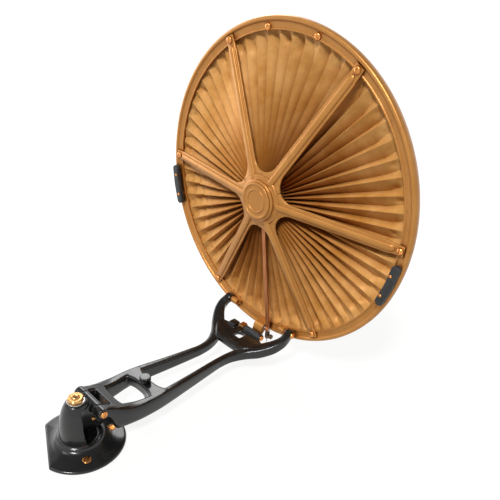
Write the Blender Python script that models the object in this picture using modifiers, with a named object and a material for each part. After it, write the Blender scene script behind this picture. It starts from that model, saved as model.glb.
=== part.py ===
"""Pleated-diaphragm loudspeaker on a swivelling fork arm.

Metres, +Z up. The origin is on the underside of the base, on the swivel axis. The arm points along +X
and the diaphragm stands upright at its end, with its front facing back along the arm.
"""
import math

import bmesh
import bpy
from mathutils import Matrix, Vector

for leftover in list(bpy.data.objects):
    bpy.data.objects.remove(leftover, do_unlink=True)

MM = 0.001

# Clearances
SEAT_GAP = 0.3 * MM
RUNNING_GAP = 0.1 * MM

# Swivel base
BASE_RADIUS = 50 * MM
BASE_FLAT = 37 * MM
BASE_FLAT_ANGLE = math.radians(156)
BASE_EDGE = 3 * MM
BOSS_RADIUS = 25 * MM
BOSS_TOP = 9 * MM
TOWER_FOOT_RADIUS = 24.2 * MM
TOWER_NECK_RADIUS = 15.6 * MM
TOWER_MOUTH = 3 * MM
TOWER_BORE = 12.4 * MM
CAP_THICKNESS = 4.7 * MM
BASE_SCREW_RADIUS = 2.4 * MM
BASE_SCREW_ANGLES = (250, 345, 75)
PIVOT_RADIUS = 3 * MM
NUT_FLATS = 15.6 * MM
NUT_HEIGHT = 4.4 * MM
WASHER_RADIUS = 9.6 * MM
WASHER_THICKNESS = 1.2 * MM

# Swivel block and arm hinge
HINGE_X = 17.5 * MM
HINGE_Z = 48 * MM
BARREL_RADIUS = 6.6 * MM
KNUCKLE_HALF = 14 * MM
EAR_HALF = 25.6 * MM
HINGE_PIN_RADIUS = 2.8 * MM
POST_RADIUS = 8.4 * MM
END_SCREW_RADIUS = 4.6 * MM
END_SCREW_HEAD = 2.4 * MM
END_SCREW_LENGTH = 4 * MM

# Carrying arm
FORK_X = 280 * MM
FORK_Z = 56 * MM
FORK_HALF = 58.5 * MM
HORN_WIDTH = 9.4 * MM
HORN_BOSS_RADIUS = 6.2 * MM
FORK_PIN_RADIUS = 2.4 * MM
FORK_NUT_FLATS = 8.6 * MM
FORK_NUT_HEIGHT = 3.2 * MM
BAY_HALF = 33.5 * MM
WAIST_HALF = 22.6 * MM
RAIL_WIDTH = 8.6 * MM
RAIL_TOP = 38.8 * MM
RAIL_DEPTH = 16 * MM
HEAD_TOP = 40 * MM
WEB_BACK = 15 * MM
WEB_WIDTH = 12.5 * MM
BAY_LENGTH = 37 * MM
BRIDGE_WIDTH = 15 * MM
HEAD_LENGTH = 62 * MM
HEAD_DEPTH = 9.3 * MM
WAIST_BACK = 26 * MM
WAIST_TOP = 32.5 * MM
TONGUE_BACK = 24 * MM
TONGUE_HALF = 28 * MM
HEAD_HOLE = 10.6 * MM

# Stop screw and upright rest
KNOB_RADIUS = 6.8 * MM
KNOB_HEIGHT = 7 * MM
KNOB_RIBS = 20
STOP_SCREW_RADIUS = 2 * MM
STOP_REACH = 9 * MM
STOP_NUT_FLATS = 7 * MM
STOP_NUT_HEIGHT = 4 * MM
ROLLER_RADIUS = 5 * MM
ROLLER_LENGTH = 30.5 * MM
ROLLER_DROP = 18 * MM
ROLLER_FAR_END = 5 * MM
REST_PIN_RADIUS = 1.9 * MM
REST_BLOCK_WIDTH = 9 * MM

# Diaphragm frame
RIM_RADIUS = 192 * MM
RIM_WIDTH = 14 * MM
BAND_WIDTH = 8 * MM
BEAD_RISE = 2.6 * MM
RIM_DEPTH = 10 * MM
RIM_TURN_IN = 2.4 * MM
WEB_THICKNESS = 2 * MM
PIVOT_FORWARD = 8 * MM
PIVOT_IN_BAND = 4.3 * MM
HUB_RADIUS = 25 * MM
HUB_STEP_RADIUS = 30.5 * MM
HUB_FRONT = 32.6 * MM
SPIDER_RISE = 30 * MM
SPIDER_THICKNESS = 2.6 * MM
SPOKES = 6
SPOKE_WIDTH = 14 * MM
SPOKE_FILLET = 20 * MM
RIB_RADIUS = 3.9 * MM
FOOT_LENGTH = 9 * MM
SMALL_SCREW_RADIUS = 1.7 * MM
TOP_SCREW_SPREAD = math.radians(11)

# Pleated diaphragm and needle bar
PLEATS = 60
PAPER = 1.2 * MM
PAPER_RISE = 18.3 * MM
CLAMP_RADIUS = 29 * MM
CLAMP_DEPTH = 10 * MM
BUFFER_LENGTH = 54 * MM
BUFFER_WIDTH = 10 * MM
BUFFER_THICKNESS = 6.5 * MM
BUFFER_BELOW = math.radians(13)
BUFFER_PIN_RADIUS = 1.4 * MM
LUG_WIDTH = 9.4 * MM
LUG_RADIUS = 4.6 * MM
BRACKET_WIDTH = 16 * MM
BRACKET_NEAR = -19 * MM
ROCKER_RADIUS = 2 * MM
ROCKER_FORWARD = 14 * MM
BAR_WIDTH = 5.5 * MM
BAR_THICKNESS = 2.2 * MM
BAR_OFFSET = -25 * MM
NEEDLE_RADIUS = 0.75 * MM
NEEDLE_LENGTH = 17 * MM
SOCKET_RADIUS = 3.2 * MM
SOCKET_LENGTH = 11 * MM
CLAMP_SCREW_RADIUS = 1.2 * MM
BAR_SCREW_RADIUS = 1.2 * MM

# Places that follow from the sizes above
BASE_SCREW_CIRCLE = 0.7 * BASE_RADIUS
OPENING_RADIUS = RIM_RADIUS - RIM_WIDTH
CAP_UNDER = HINGE_Z + BARREL_RADIUS + 0.8 * MM
TOWER_TOP = CAP_UNDER + CAP_THICKNESS
RAIL_BOTTOM = RAIL_TOP - RAIL_DEPTH
BAND_RADIUS = OPENING_RADIUS + PIVOT_IN_BAND
DISC_X = FORK_X + PIVOT_FORWARD
DISC_Z = FORK_Z + math.sqrt(BAND_RADIUS ** 2 - FORK_HALF ** 2)
BAND_EDGE = OPENING_RADIUS + BAND_WIDTH
FOOT_FRONT = SEAT_GAP + SPIDER_THICKNESS
SPIDER_REACH = OPENING_RADIUS - 2 * MM
SCREW_CIRCLE = OPENING_RADIUS + 3.2 * MM
BRIDGE_X = HINGE_X + WEB_BACK + WEB_WIDTH + BAY_LENGTH + BRIDGE_WIDTH / 2

parts = bpy.data.collections.new("pleated_diaphragm_loudspeaker")
cutters = bpy.data.collections.new("cutters")
bpy.context.scene.collection.children.link(parts)
bpy.context.scene.collection.children.link(cutters)


def material(name, color, roughness, metallic):
    """Principled material with one colour."""
    made = bpy.data.materials.new(name)
    made.use_nodes = True
    shader = made.node_tree.nodes["Principled BSDF"]
    shader.inputs["Base Color"].default_value = (*color, 1)
    shader.inputs["Roughness"].default_value = roughness
    shader.inputs["Metallic"].default_value = metallic
    return made


BLACK = material("black_japan", (0.022, 0.021, 0.02), 0.32, 0.0)
GOLD = material("gold_bronze_paint", (0.52, 0.31, 0.12), 0.42, 0.55)
PAPER_GOLD = material("gilt_paper", (0.56, 0.33, 0.11), 0.5, 0.3)
BRASS = material("brass", (0.62, 0.33, 0.12), 0.3, 1.0)
STEEL = material("steel", (0.5, 0.5, 0.5), 0.3, 1.0)
RUBBER = material("black_rubber", (0.02, 0.02, 0.02), 0.7, 0.0)
CORK = material("cork", (0.3, 0.2, 0.12), 0.8, 0.0)
COPPER = material("copper_lacquer", (0.42, 0.15, 0.06), 0.4, 0.6)


def joint_empty(name, place):
    """Empty on a joint axis, the parent of what that joint moves."""
    empty = bpy.data.objects.new(name, None)
    parts.objects.link(empty)
    empty.location = place
    return empty


swivel_axis = joint_empty("swivel_axis", (0, 0, 0))
hinge_axis = joint_empty("hinge_axis", (HINGE_X, 0, HINGE_Z))
stop_axis = joint_empty("stop_axis", (BRIDGE_X, 0, RAIL_TOP))
fork_axis = joint_empty("fork_axis", (FORK_X, 0, FORK_Z))
ROCKER_Z = DISC_Z - (OPENING_RADIUS + 2.5 * MM)
rocker_axis = joint_empty("rocker_axis", (DISC_X - ROCKER_FORWARD, 0, ROCKER_Z))


def finish(obj, paint, parent=None):
    """Put a part in the part collection with its material, and parent it where it stands."""
    for home in list(obj.users_collection):
        home.objects.unlink(obj)
    parts.objects.link(obj)
    obj.data.materials.clear()
    obj.data.materials.append(paint)
    if obj.type == "MESH":
        obj.data.shade_smooth()
        obj.data.set_sharp_from_angle(angle=math.radians(35))
    if parent:
        obj.parent = parent
        obj.matrix_parent_inverse = Matrix.Translation(parent.location).inverted()
    return obj


def hide(obj):
    """Move a construction body to the cutters."""
    for home in list(obj.users_collection):
        home.objects.unlink(obj)
    cutters.objects.link(obj)
    obj.hide_render = True
    obj.display_type = "WIRE"
    return obj


def aim(direction):
    """Rotation that turns local +Z to a direction."""
    return Vector((0, 0, 1)).rotation_difference(Vector(direction)).to_matrix().to_4x4()


ALONG_Y = aim((0, 1, 0))
AGAINST_Y = aim((0, -1, 0))
DISC_TURN = Matrix(((0, 0, -1, 0), (-1, 0, 0, 0), (0, 1, 0, 0), (0, 0, 0, 1)))
# A plate drawn in the XZ plane: local X, Y and Z are world X, Z and -Y
UPRIGHT = Matrix(((1, 0, 0, 0), (0, 0, -1, 0), (0, 1, 0, 0), (0, 0, 0, 1)))


def spot(x, y, z, turn=Matrix.Identity(4)):
    """World matrix at a place, with a rotation."""
    return Matrix.Translation((x, y, z)) @ turn


def on_disc(right, up, front, turn=Matrix.Identity(4)):
    """World matrix in the diaphragm's own frame: right and up as seen from the front, and forward."""
    return Matrix.Translation((DISC_X, 0, DISC_Z)) @ DISC_TURN @ Matrix.Translation((right, up,
                                                                                     front)) @ turn


def polar(radius, angle):
    """Plane point from a radius and an angle in radians."""
    return Vector((radius * math.cos(angle), radius * math.sin(angle)))


def turned(name, profile, place, steps=32, ring=False):
    """Turned body: a profile of (radius, height), down the outer side, swept round local Z."""
    mesh = bpy.data.meshes.new(name)
    edges = [(i, i + 1) for i in range(len(profile) - 1)]
    if ring:
        edges.append((len(profile) - 1, 0))
    mesh.from_pydata([(r, 0, z) for r, z in profile], edges, [])
    obj = bpy.data.objects.new(name, mesh)
    parts.objects.link(obj)
    obj.matrix_world = place
    sweep = obj.modifiers.new("Turn", "SCREW")
    sweep.steps = sweep.render_steps = steps
    sweep.use_merge_vertices = True
    sweep.merge_threshold = 0.00001
    return obj


def rod(name, radius, low, high, place, steps=20):
    """Plain cylinder between two heights on local Z."""
    return turned(name, [(0, high), (radius, high), (radius, low), (0, low)], place, steps)


def rods(name, radius, low, high, places, steps=10):
    """One body of equal cylinders, each between two heights on the local Z of its place."""
    shape = bmesh.new()
    for place in places:
        middle = place @ Matrix.Translation((0, 0, (low + high) / 2))
        bmesh.ops.create_cone(shape, cap_ends=True, segments=steps, radius1=radius, radius2=radius,
                              depth=high - low,
                              matrix=middle)
    mesh = bpy.data.meshes.new(name)
    shape.to_mesh(mesh)
    shape.free()
    obj = bpy.data.objects.new(name, mesh)
    parts.objects.link(obj)
    return obj


def block(name, low, high):
    """Box between two corners."""
    bpy.ops.mesh.primitive_cube_add(size=1)
    obj = bpy.context.object
    obj.name = name
    low, high = Vector(low), Vector(high)
    obj.data.transform(Matrix.Translation((low + high) / 2) @ Matrix.Diagonal((*(high - low), 1)))
    return obj


def solid_from_curve(curve_obj):
    """Mesh object with a curve's shape, with its caps welded on."""
    bpy.context.view_layer.update()
    graph = bpy.context.evaluated_depsgraph_get()
    mesh = bpy.data.meshes.new_from_object(curve_obj.evaluated_get(graph))
    shape = bmesh.new()
    shape.from_mesh(mesh)
    bmesh.ops.remove_doubles(shape, verts=shape.verts, dist=0.00001)
    bmesh.ops.recalc_face_normals(shape, faces=shape.faces)
    shape.to_mesh(mesh)
    shape.free()
    name = curve_obj.name
    place = curve_obj.matrix_world.copy()
    bpy.data.objects.remove(curve_obj, do_unlink=True)
    obj = bpy.data.objects.new(name, mesh)
    parts.objects.link(obj)
    obj.matrix_world = place
    return obj


def plate(name, outlines, thickness, place):
    """Flat body from closed outlines, later ones cutting holes in the first, half its thickness each way."""
    curve = bpy.data.curves.new(name, "CURVE")
    curve.dimensions = "2D"
    curve.fill_mode = "BOTH"
    curve.extrude = thickness / 2
    for outline in outlines:
        spline = curve.splines.new("POLY")
        spline.points.add(len(outline) - 1)
        for point, (x, y) in zip(spline.points, outline):
            point.co = (x, y, 0, 1)
        spline.use_cyclic_u = True
    obj = bpy.data.objects.new(name, curve)
    parts.objects.link(obj)
    obj.matrix_world = place
    return solid_from_curve(obj)


def bars(name, runs, radius, place, sides=1):
    """Round bars along runs of (point, radius factor)."""
    curve = bpy.data.curves.new(name, "CURVE")
    curve.dimensions = "3D"
    curve.bevel_depth = radius
    curve.bevel_resolution = sides
    curve.use_fill_caps = True
    for run in runs:
        spline = curve.splines.new("POLY")
        spline.points.add(len(run) - 1)
        for point, (where, factor) in zip(spline.points, run):
            point.co = (*where, 1)
            point.radius = factor
    obj = bpy.data.objects.new(name, curve)
    parts.objects.link(obj)
    obj.matrix_world = place
    return solid_from_curve(obj)


def smooth(points, steps=4):
    """Even curve through the points, both ends kept."""
    knots = [Vector(p) for p in points]
    knots = [2 * knots[0] - knots[1]] + knots + [2 * knots[-1] - knots[-2]]
    curve = []
    for a, b, c, d in zip(knots, knots[1:], knots[2:], knots[3:]):
        for i in range(steps):
            t = i / steps
            pull = (2 * a - 5 * b + 4 * c - d) * t * t + (3 * b - a - 3 * c + d) * t ** 3
            curve.append(b + ((c - a) * t + pull) / 2)
    curve.append(knots[-2])
    return curve


def combine(obj, other, operation):
    """Boolean with a construction body."""
    step = obj.modifiers.new(operation.title(), "BOOLEAN")
    step.operation = operation
    step.object = hide(other)
    return obj


def rounded(obj, width, segments=2, angle=50):
    """Round the sharp edges."""
    step = obj.modifiers.new("Round", "BEVEL")
    step.width = width
    step.segments = segments
    step.limit_method = "ANGLE"
    step.angle_limit = math.radians(angle)
    return obj


def screw(name, head_radius, head_height, shank_radius, shank_length, place, parent, slotted=False):
    """Round-headed screw: its head sits on local z = 0 and its shank goes down."""
    profile = [(0, head_height), (0.7 * head_radius, 0.9 * head_height), (head_radius, 0.4 * head_height),
               (head_radius, 0),
               (shank_radius, 0), (shank_radius, -shank_length), (0, -shank_length)]
    obj = turned(name, profile, place, 14 if slotted else 8)
    if slotted:
        reach, half = 1.2 * head_radius, 0.13 * head_radius
        slot = block(name + "_slot", (-reach, -half, 0.5 * head_height), (reach, half, 2 * head_height))
        slot.matrix_world = place
        combine(obj, slot, "DIFFERENCE")
    return finish(obj, BRASS, parent)


def hex_nut(name, flats, height, bore, place, parent, paint=BRASS):
    """Hexagon nut standing on local z = 0."""
    corner = flats / math.sqrt(3)
    hexagon = [polar(corner, math.radians(60 * k)) for k in range(6)]
    hole = [polar(bore, math.radians(30 * k)) for k in range(12)]
    obj = plate(name, [hexagon, hole], height, place @ Matrix.Translation((0, 0, height / 2)))
    return finish(obj, paint, parent)


# Base casting: round skirted foot with one flat side, and a bullet-shaped tower open towards the arm
def base_casting():
    tower = [(0, TOWER_TOP), (0.67 * TOWER_NECK_RADIUS, TOWER_TOP)]
    tower += smooth([(0.76 * TOWER_NECK_RADIUS, TOWER_TOP - 1.5 * MM), (TOWER_NECK_RADIUS, HINGE_Z),
                     (0.35 * TOWER_NECK_RADIUS + 0.65 * TOWER_FOOT_RADIUS, 0.55 * HINGE_Z),
                     (TOWER_FOOT_RADIUS, BOSS_TOP)], 3)
    skirt = [(BOSS_RADIUS, BOSS_TOP), (BOSS_RADIUS, 0.6 * BOSS_TOP), (BOSS_RADIUS + 3 * MM, 0.52 * BOSS_TOP),
             (BASE_RADIUS - 1 * MM, BASE_EDGE), (BASE_RADIUS, BASE_EDGE - 1 * MM), (BASE_RADIUS, 0), (0, 0)]
    casting = turned("base_casting", tower + skirt, Matrix.Identity(4), 36)
    flat = block("base_side", (BASE_FLAT, -2 * BASE_RADIUS, -BASE_EDGE),
                 (2 * BASE_RADIUS, 2 * BASE_RADIUS, BOSS_TOP))
    flat.matrix_world = Matrix.Rotation(BASE_FLAT_ANGLE, 4, "Z")
    combine(casting, flat, "DIFFERENCE")
    room = rod("tower_room", TOWER_BORE, BOSS_TOP, CAP_UNDER, Matrix.Identity(4), 24)
    combine(casting, room, "DIFFERENCE")
    mouth = block("tower_mouth", (-TOWER_MOUTH, -2 * TOWER_FOOT_RADIUS, BOSS_TOP),
                  (2 * BASE_RADIUS, 2 * TOWER_FOOT_RADIUS, CAP_UNDER))
    combine(casting, mouth, "DIFFERENCE")
    top_hole = rod("top_hole", PIVOT_RADIUS + SEAT_GAP, CAP_UNDER - 1 * MM, TOWER_TOP + 1 * MM,
                   Matrix.Identity(4))
    combine(casting, top_hole, "DIFFERENCE")
    cup_seat = rod("cup_seat", 2 * PIVOT_RADIUS + SEAT_GAP, 0.5 * BOSS_TOP, 2 * BOSS_TOP, Matrix.Identity(4))
    combine(casting, cup_seat, "DIFFERENCE")
    for number, angle in enumerate(BASE_SCREW_ANGLES, 1):
        place = base_screw_place(angle)
        r = BASE_SCREW_RADIUS
        sink = turned("screw_sink_%d" % number,
                      [(0, 4 * r), (2 * r + SEAT_GAP, 4 * r), (2 * r + SEAT_GAP, 0),
                       (r + SEAT_GAP, -r - SEAT_GAP),
                       (r + SEAT_GAP, -BOSS_TOP), (0, -BOSS_TOP)], place, 12)
        combine(casting, sink, "DIFFERENCE")
    finish(casting, BLACK)


def base_screw_place(angle):
    """Where a base screw's flush head lies, just below the skirt."""
    slope = (0.52 * BOSS_TOP - BASE_EDGE) / (BASE_RADIUS - BOSS_RADIUS - 4 * MM)
    height = BASE_EDGE + slope * (BASE_RADIUS - 1 * MM - BASE_SCREW_CIRCLE) - 0.1 * MM
    x, y = polar(BASE_SCREW_CIRCLE, math.radians(angle))
    return spot(x, y, height, Matrix.Rotation(math.radians(angle + 35), 4, "Z"))


base_casting()
for number, angle in enumerate(BASE_SCREW_ANGLES, 1):
    place = base_screw_place(angle)
    r = BASE_SCREW_RADIUS
    depth = place.translation.z - SEAT_GAP
    finish(turned("base_screw_%d" % number, [(0, 0), (2 * r, 0), (r, -r), (r, -depth), (0, -depth)],
                  place, 12), BRASS)

# Upper pivot: coned screw through the tower cap, locked by a nut on a washer
POST_TOP = CAP_UNDER - 1.5 * MM
NUT_BASE = TOWER_TOP + 2 * SEAT_GAP + WASHER_THICKNESS
SCREW_TOP = NUT_BASE + NUT_HEIGHT + 1.2 * MM
POINT = POST_TOP - 3 * MM
upper = turned("upper_pivot_screw",
               [(0, SCREW_TOP), (PIVOT_RADIUS, SCREW_TOP), (PIVOT_RADIUS, POST_TOP + 0.8 * MM),
                (0.3 * MM, POINT), (0, POINT)],
               Matrix.Identity(4), 24)
notch = block("pivot_slot", (-2 * PIVOT_RADIUS, -0.5 * MM, SCREW_TOP - 1 * MM),
              (2 * PIVOT_RADIUS, 0.5 * MM, SCREW_TOP + 1 * MM))
finish(combine(upper, notch, "DIFFERENCE"), BRASS)
washer_bottom = TOWER_TOP + SEAT_GAP
washer_bore = PIVOT_RADIUS + SEAT_GAP
finish(turned("pivot_washer",
              [(washer_bore, washer_bottom + WASHER_THICKNESS),
               (WASHER_RADIUS, washer_bottom + WASHER_THICKNESS),
               (WASHER_RADIUS, washer_bottom), (washer_bore, washer_bottom)], Matrix.Identity(4), 24,
              ring=True), STEEL)
hex_nut("pivot_locknut", NUT_FLATS, NUT_HEIGHT, PIVOT_RADIUS + SEAT_GAP, spot(0, 0, NUT_BASE), None)

# Lower pivot: hardened cup in the foot and a coned pin in the swivel post
CUP_RADIUS = 2 * PIVOT_RADIUS
CUP_FLOOR = 0.5 * BOSS_TOP + SEAT_GAP
CUP_TOP = BOSS_TOP + 1 * MM
CONE_DEPTH = 0.6 * (CUP_TOP - CUP_FLOOR)
finish(turned("pivot_cup",
              [(0, CUP_TOP - CONE_DEPTH), (PIVOT_RADIUS + 0.5 * MM, CUP_TOP), (CUP_RADIUS, CUP_TOP),
               (CUP_RADIUS, CUP_FLOOR),
               (0, CUP_FLOOR)], Matrix.Identity(4), 24), STEEL)
POST_BOTTOM = CUP_TOP + 1.5 * MM
PIN_TIP = CUP_TOP - CONE_DEPTH + SEAT_GAP
PIN_TOP = POST_BOTTOM + 6 * MM
finish(turned("lower_pivot",
              [(0, PIN_TOP), (PIVOT_RADIUS, PIN_TOP), (PIVOT_RADIUS, CUP_TOP + 0.4 * MM), (0, PIN_TIP)],
              Matrix.Identity(4), 24), STEEL, swivel_axis)

# Swivel block: post between the pivots, neck to the hinge knuckle, and a toe that the arm's web rests on
WEB_X = HINGE_X + WEB_BACK
TOE_TOP = RAIL_BOTTOM - SEAT_GAP
post = turned("swivel_block",
              [(0, POST_TOP - 3.6 * MM), (PIVOT_RADIUS + 0.6 * MM, POST_TOP), (POST_RADIUS, POST_TOP),
               (POST_RADIUS, POST_BOTTOM),
               (PIVOT_RADIUS + SEAT_GAP, POST_BOTTOM), (PIVOT_RADIUS + SEAT_GAP, PIN_TOP + SEAT_GAP),
               (0, PIN_TOP + SEAT_GAP)],
              Matrix.Identity(4), 24)
knuckle = rod("knuckle", BARREL_RADIUS, -KNUCKLE_HALF, KNUCKLE_HALF, spot(HINGE_X, 0, HINGE_Z, ALONG_Y), 24)
combine(post, knuckle, "UNION")
NECK_HALF = 0.8 * POST_RADIUS
NECK_START = PIVOT_RADIUS + 2 * MM
toe_end = WEB_X + 0.75 * WEB_WIDTH
neck_side = smooth([(NECK_START, HINGE_Z + 0.8 * BARREL_RADIUS),
                    (HINGE_X, HINGE_Z + 0.8 * BARREL_RADIUS)], 1)
neck_side += smooth([(HINGE_X + 0.8 * BARREL_RADIUS, HINGE_Z - 0.4 * BARREL_RADIUS),
                     (HINGE_X, 0.6 * HINGE_Z + 0.4 * TOE_TOP),
                     (HINGE_X + 0.3 * WEB_BACK, TOE_TOP), (toe_end, TOE_TOP)], 3)
neck_side += [(toe_end, TOE_TOP - 3 * MM), (HINGE_X, TOE_TOP - 8 * MM), (NECK_START, TOE_TOP - 10 * MM)]
neck = plate("neck", [neck_side], 2 * NECK_HALF, spot(0, 0, 0, UPRIGHT))
combine(post, neck, "UNION")
pin_hole = rod("swivel_hole", HINGE_PIN_RADIUS + RUNNING_GAP, -2 * EAR_HALF, 2 * EAR_HALF,
               spot(HINGE_X, 0, HINGE_Z, ALONG_Y))
combine(post, pin_hole, "DIFFERENCE")
neck_screw_place = spot(0.8 * HINGE_X, -NECK_HALF - SEAT_GAP, 0.64 * HINGE_Z, AGAINST_Y)
neck_screw_hole = rod("neck_screw_hole", SMALL_SCREW_RADIUS + SEAT_GAP, -0.9 * NECK_HALF, NECK_HALF,
                      neck_screw_place)
combine(post, neck_screw_hole, "DIFFERENCE")
finish(post, BLACK, swivel_axis)
screw("neck_screw", 1.6 * SMALL_SCREW_RADIUS, 2 * MM, SMALL_SCREW_RADIUS, 0.8 * NECK_HALF, neck_screw_place,
      swivel_axis)

# Carrying arm: open cast frame, its plan cut by its side view, with round ears, horn bosses and bores
WAIST_X = FORK_X - HEAD_LENGTH - WAIST_BACK
HORN_OUT = FORK_HALF + HORN_WIDTH / 2
HORN_IN = FORK_HALF - HORN_WIDTH / 2
TONGUE_X = FORK_X - TONGUE_BACK
BAY_X = WEB_X + WEB_WIDTH


def arm_plan():
    """Outlines of the arm seen from above: the frame, its two bays and the hole in its head."""
    side = smooth([(HINGE_X, EAR_HALF - 0.5 * MM), (WEB_X - 5 * MM, EAR_HALF + 0.6 * MM),
                   (BAY_X, BAY_HALF - 1.6 * MM),
                   (BAY_X + 0.6 * BAY_LENGTH, BAY_HALF), (BRIDGE_X + BRIDGE_WIDTH, BAY_HALF - 2 * MM),
                   (0.5 * (BRIDGE_X + WAIST_X), 0.42 * BAY_HALF + 0.58 * WAIST_HALF), (WAIST_X, WAIST_HALF),
                   (FORK_X - HEAD_LENGTH, WAIST_HALF + 7 * MM),
                   (FORK_X - 0.63 * HEAD_LENGTH, 0.8 * HORN_OUT),
                   (FORK_X - 0.42 * HEAD_LENGTH, HORN_OUT - 2 * MM),
                   (FORK_X - 0.28 * HEAD_LENGTH, HORN_OUT + 1 * MM),
                   (FORK_X - 1.4 * HORN_BOSS_RADIUS, HORN_OUT - 0.3 * MM), (FORK_X, HORN_OUT - 0.5 * MM)], 2)
    horn = smooth([(FORK_X, HORN_IN + 0.5 * MM), (FORK_X - 0.16 * HEAD_LENGTH, HORN_IN + 0.4 * MM),
                   (FORK_X - 0.32 * HEAD_LENGTH, HORN_IN - 5 * MM),
                   (TONGUE_X - 3 * MM, 0.5 * (HORN_IN + TONGUE_HALF)), (TONGUE_X, TONGUE_HALF)], 2)
    far = side + horn
    near = [Vector((x, -y)) for x, y in reversed(far)]
    inner = KNUCKLE_HALF + 2 * SEAT_GAP
    frame = far + near + [(HINGE_X, -inner), (WEB_X, -inner), (WEB_X, inner), (HINGE_X, inner)]
    bay_front = BAY_X + BAY_LENGTH
    bay = [(BAY_X, 0.64 * (BAY_HALF - RAIL_WIDTH)), (bay_front, BAY_HALF - RAIL_WIDTH - 1.5 * MM)]
    front_x = FORK_X - HEAD_LENGTH
    long_bay = smooth([(BRIDGE_X + BRIDGE_WIDTH / 2, BAY_HALF - RAIL_WIDTH - 2.5 * MM),
                       (0.5 * (BRIDGE_X + WAIST_X), 0.42 * BAY_HALF + 0.58 * WAIST_HALF - RAIL_WIDTH),
                       (WAIST_X, WAIST_HALF - RAIL_WIDTH),
                       (front_x - 4 * MM, WAIST_HALF - RAIL_WIDTH + 0.6 * MM),
                       (front_x, WAIST_HALF - RAIL_WIDTH - 2 * MM)], 2)
    hole_x = TONGUE_X - 0.5 * HEAD_HOLE
    hole = [(hole_x - HEAD_HOLE, HEAD_HOLE / 2), (hole_x, HEAD_HOLE / 2)]
    closed = [half + [Vector((x, -y)) for x, y in reversed(half)] for half in (bay, long_bay, hole)]
    return [frame] + closed


def arm_side():
    """Outline of the arm seen from the side: it dips behind the hinge, runs low and rises to the horns."""
    head_x = FORK_X - HEAD_LENGTH
    top = smooth([(HINGE_X, HINGE_Z + 0.8 * BARREL_RADIUS),
                  (HINGE_X + 1.3 * BARREL_RADIUS, HINGE_Z + 0.6 * BARREL_RADIUS),
                  (WEB_X + 0.4 * WEB_WIDTH, 0.5 * (HINGE_Z + RAIL_TOP) + 2.2 * MM),
                  (BAY_X + 0.3 * BAY_LENGTH, RAIL_TOP + 2.4 * MM),
                  (BRIDGE_X, RAIL_TOP), (0.5 * (BRIDGE_X + WAIST_X), 0.5 * (RAIL_TOP + WAIST_TOP)),
                  (WAIST_X, WAIST_TOP), (head_x, WAIST_TOP + 1.5 * MM),
                  (FORK_X - 0.6 * HEAD_LENGTH, HEAD_TOP),
                  (FORK_X - 0.4 * HEAD_LENGTH, HEAD_TOP + 4 * MM),
                  (FORK_X - 0.22 * HEAD_LENGTH, FORK_Z - 3 * MM),
                  (FORK_X - 0.08 * HEAD_LENGTH, FORK_Z + 0.8 * HORN_BOSS_RADIUS),
                  (FORK_X, FORK_Z + 0.96 * HORN_BOSS_RADIUS)], 2)
    under = smooth([(FORK_X, FORK_Z - 0.96 * HORN_BOSS_RADIUS),
                    (FORK_X - 0.14 * HEAD_LENGTH, FORK_Z - 1.9 * HORN_BOSS_RADIUS),
                    (TONGUE_X, HEAD_TOP - HEAD_DEPTH),
                    (FORK_X - 0.68 * HEAD_LENGTH, RAIL_BOTTOM + 2.5 * MM),
                    (WAIST_X, RAIL_BOTTOM)], 2)
    under += [(WEB_X, RAIL_BOTTOM), (HINGE_X + 1.4 * BARREL_RADIUS, HINGE_Z - 1.5 * BARREL_RADIUS),
              (HINGE_X, HINGE_Z - 0.8 * BARREL_RADIUS)]
    return [top + under]


arm = plate("carrying_arm", arm_plan(), 0.2, spot(0, 0, 0))
combine(arm, plate("arm_side", arm_side(), 0.4, spot(0, 0, 0, UPRIGHT)), "INTERSECT")
for side in (1, -1):
    ear = rod("ear", BARREL_RADIUS, KNUCKLE_HALF + SEAT_GAP, EAR_HALF,
              spot(HINGE_X, 0, HINGE_Z, aim((0, side, 0))), 24)
    combine(arm, ear, "UNION")
    boss = rod("horn_boss", HORN_BOSS_RADIUS, HORN_IN, HORN_OUT,
               spot(FORK_X, 0, FORK_Z, aim((0, side, 0))), 24)
    combine(arm, boss, "UNION")
ROLLER_X = FORK_X - ROLLER_DROP
ROLLER_Z = HEAD_TOP - 2 * MM
lug_far = TONGUE_HALF - 1 * MM
rest_lug = block("rest_lug", (TONGUE_X - 4 * MM, lug_far - 10 * MM, ROLLER_Z - 5 * MM),
                 (TONGUE_X + 6 * MM, lug_far, ROLLER_Z + 6 * MM))
combine(arm, rounded(rest_lug, 1 * MM), "UNION")
hinge_bore = rod("hinge_bore", HINGE_PIN_RADIUS + SEAT_GAP, -2 * EAR_HALF, 2 * EAR_HALF,
                 spot(HINGE_X, 0, HINGE_Z, ALONG_Y))
fork_bore = rod("fork_bore", FORK_PIN_RADIUS + SEAT_GAP, -2 * FORK_HALF, 2 * FORK_HALF,
                spot(FORK_X, 0, FORK_Z, ALONG_Y))
stop_bore = rod("stop_bore", STOP_SCREW_RADIUS + RUNNING_GAP, 0, 2 * RAIL_TOP, spot(BRIDGE_X, 0, 0))
for bore in (hinge_bore, fork_bore, stop_bore):
    combine(arm, bore, "DIFFERENCE")
finish(arm, BLACK, hinge_axis)

# Hinge pin with a slotted screw at each end, holding the arm's ears to the swivel block
pin_half = EAR_HALF + SEAT_GAP - END_SCREW_LENGTH
finish(rod("hinge_pin", HINGE_PIN_RADIUS, -pin_half, pin_half, spot(HINGE_X, 0, HINGE_Z, ALONG_Y)), STEEL,
       swivel_axis)
for name, side in (("left", 1), ("right", -1)):
    face = spot(HINGE_X, side * (EAR_HALF + SEAT_GAP), HINGE_Z, aim((0, side, 0)))
    screw("hinge_end_screw_" + name, END_SCREW_RADIUS, END_SCREW_HEAD, HINGE_PIN_RADIUS,
          END_SCREW_LENGTH - SEAT_GAP, face, hinge_axis, slotted=True)

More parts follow.
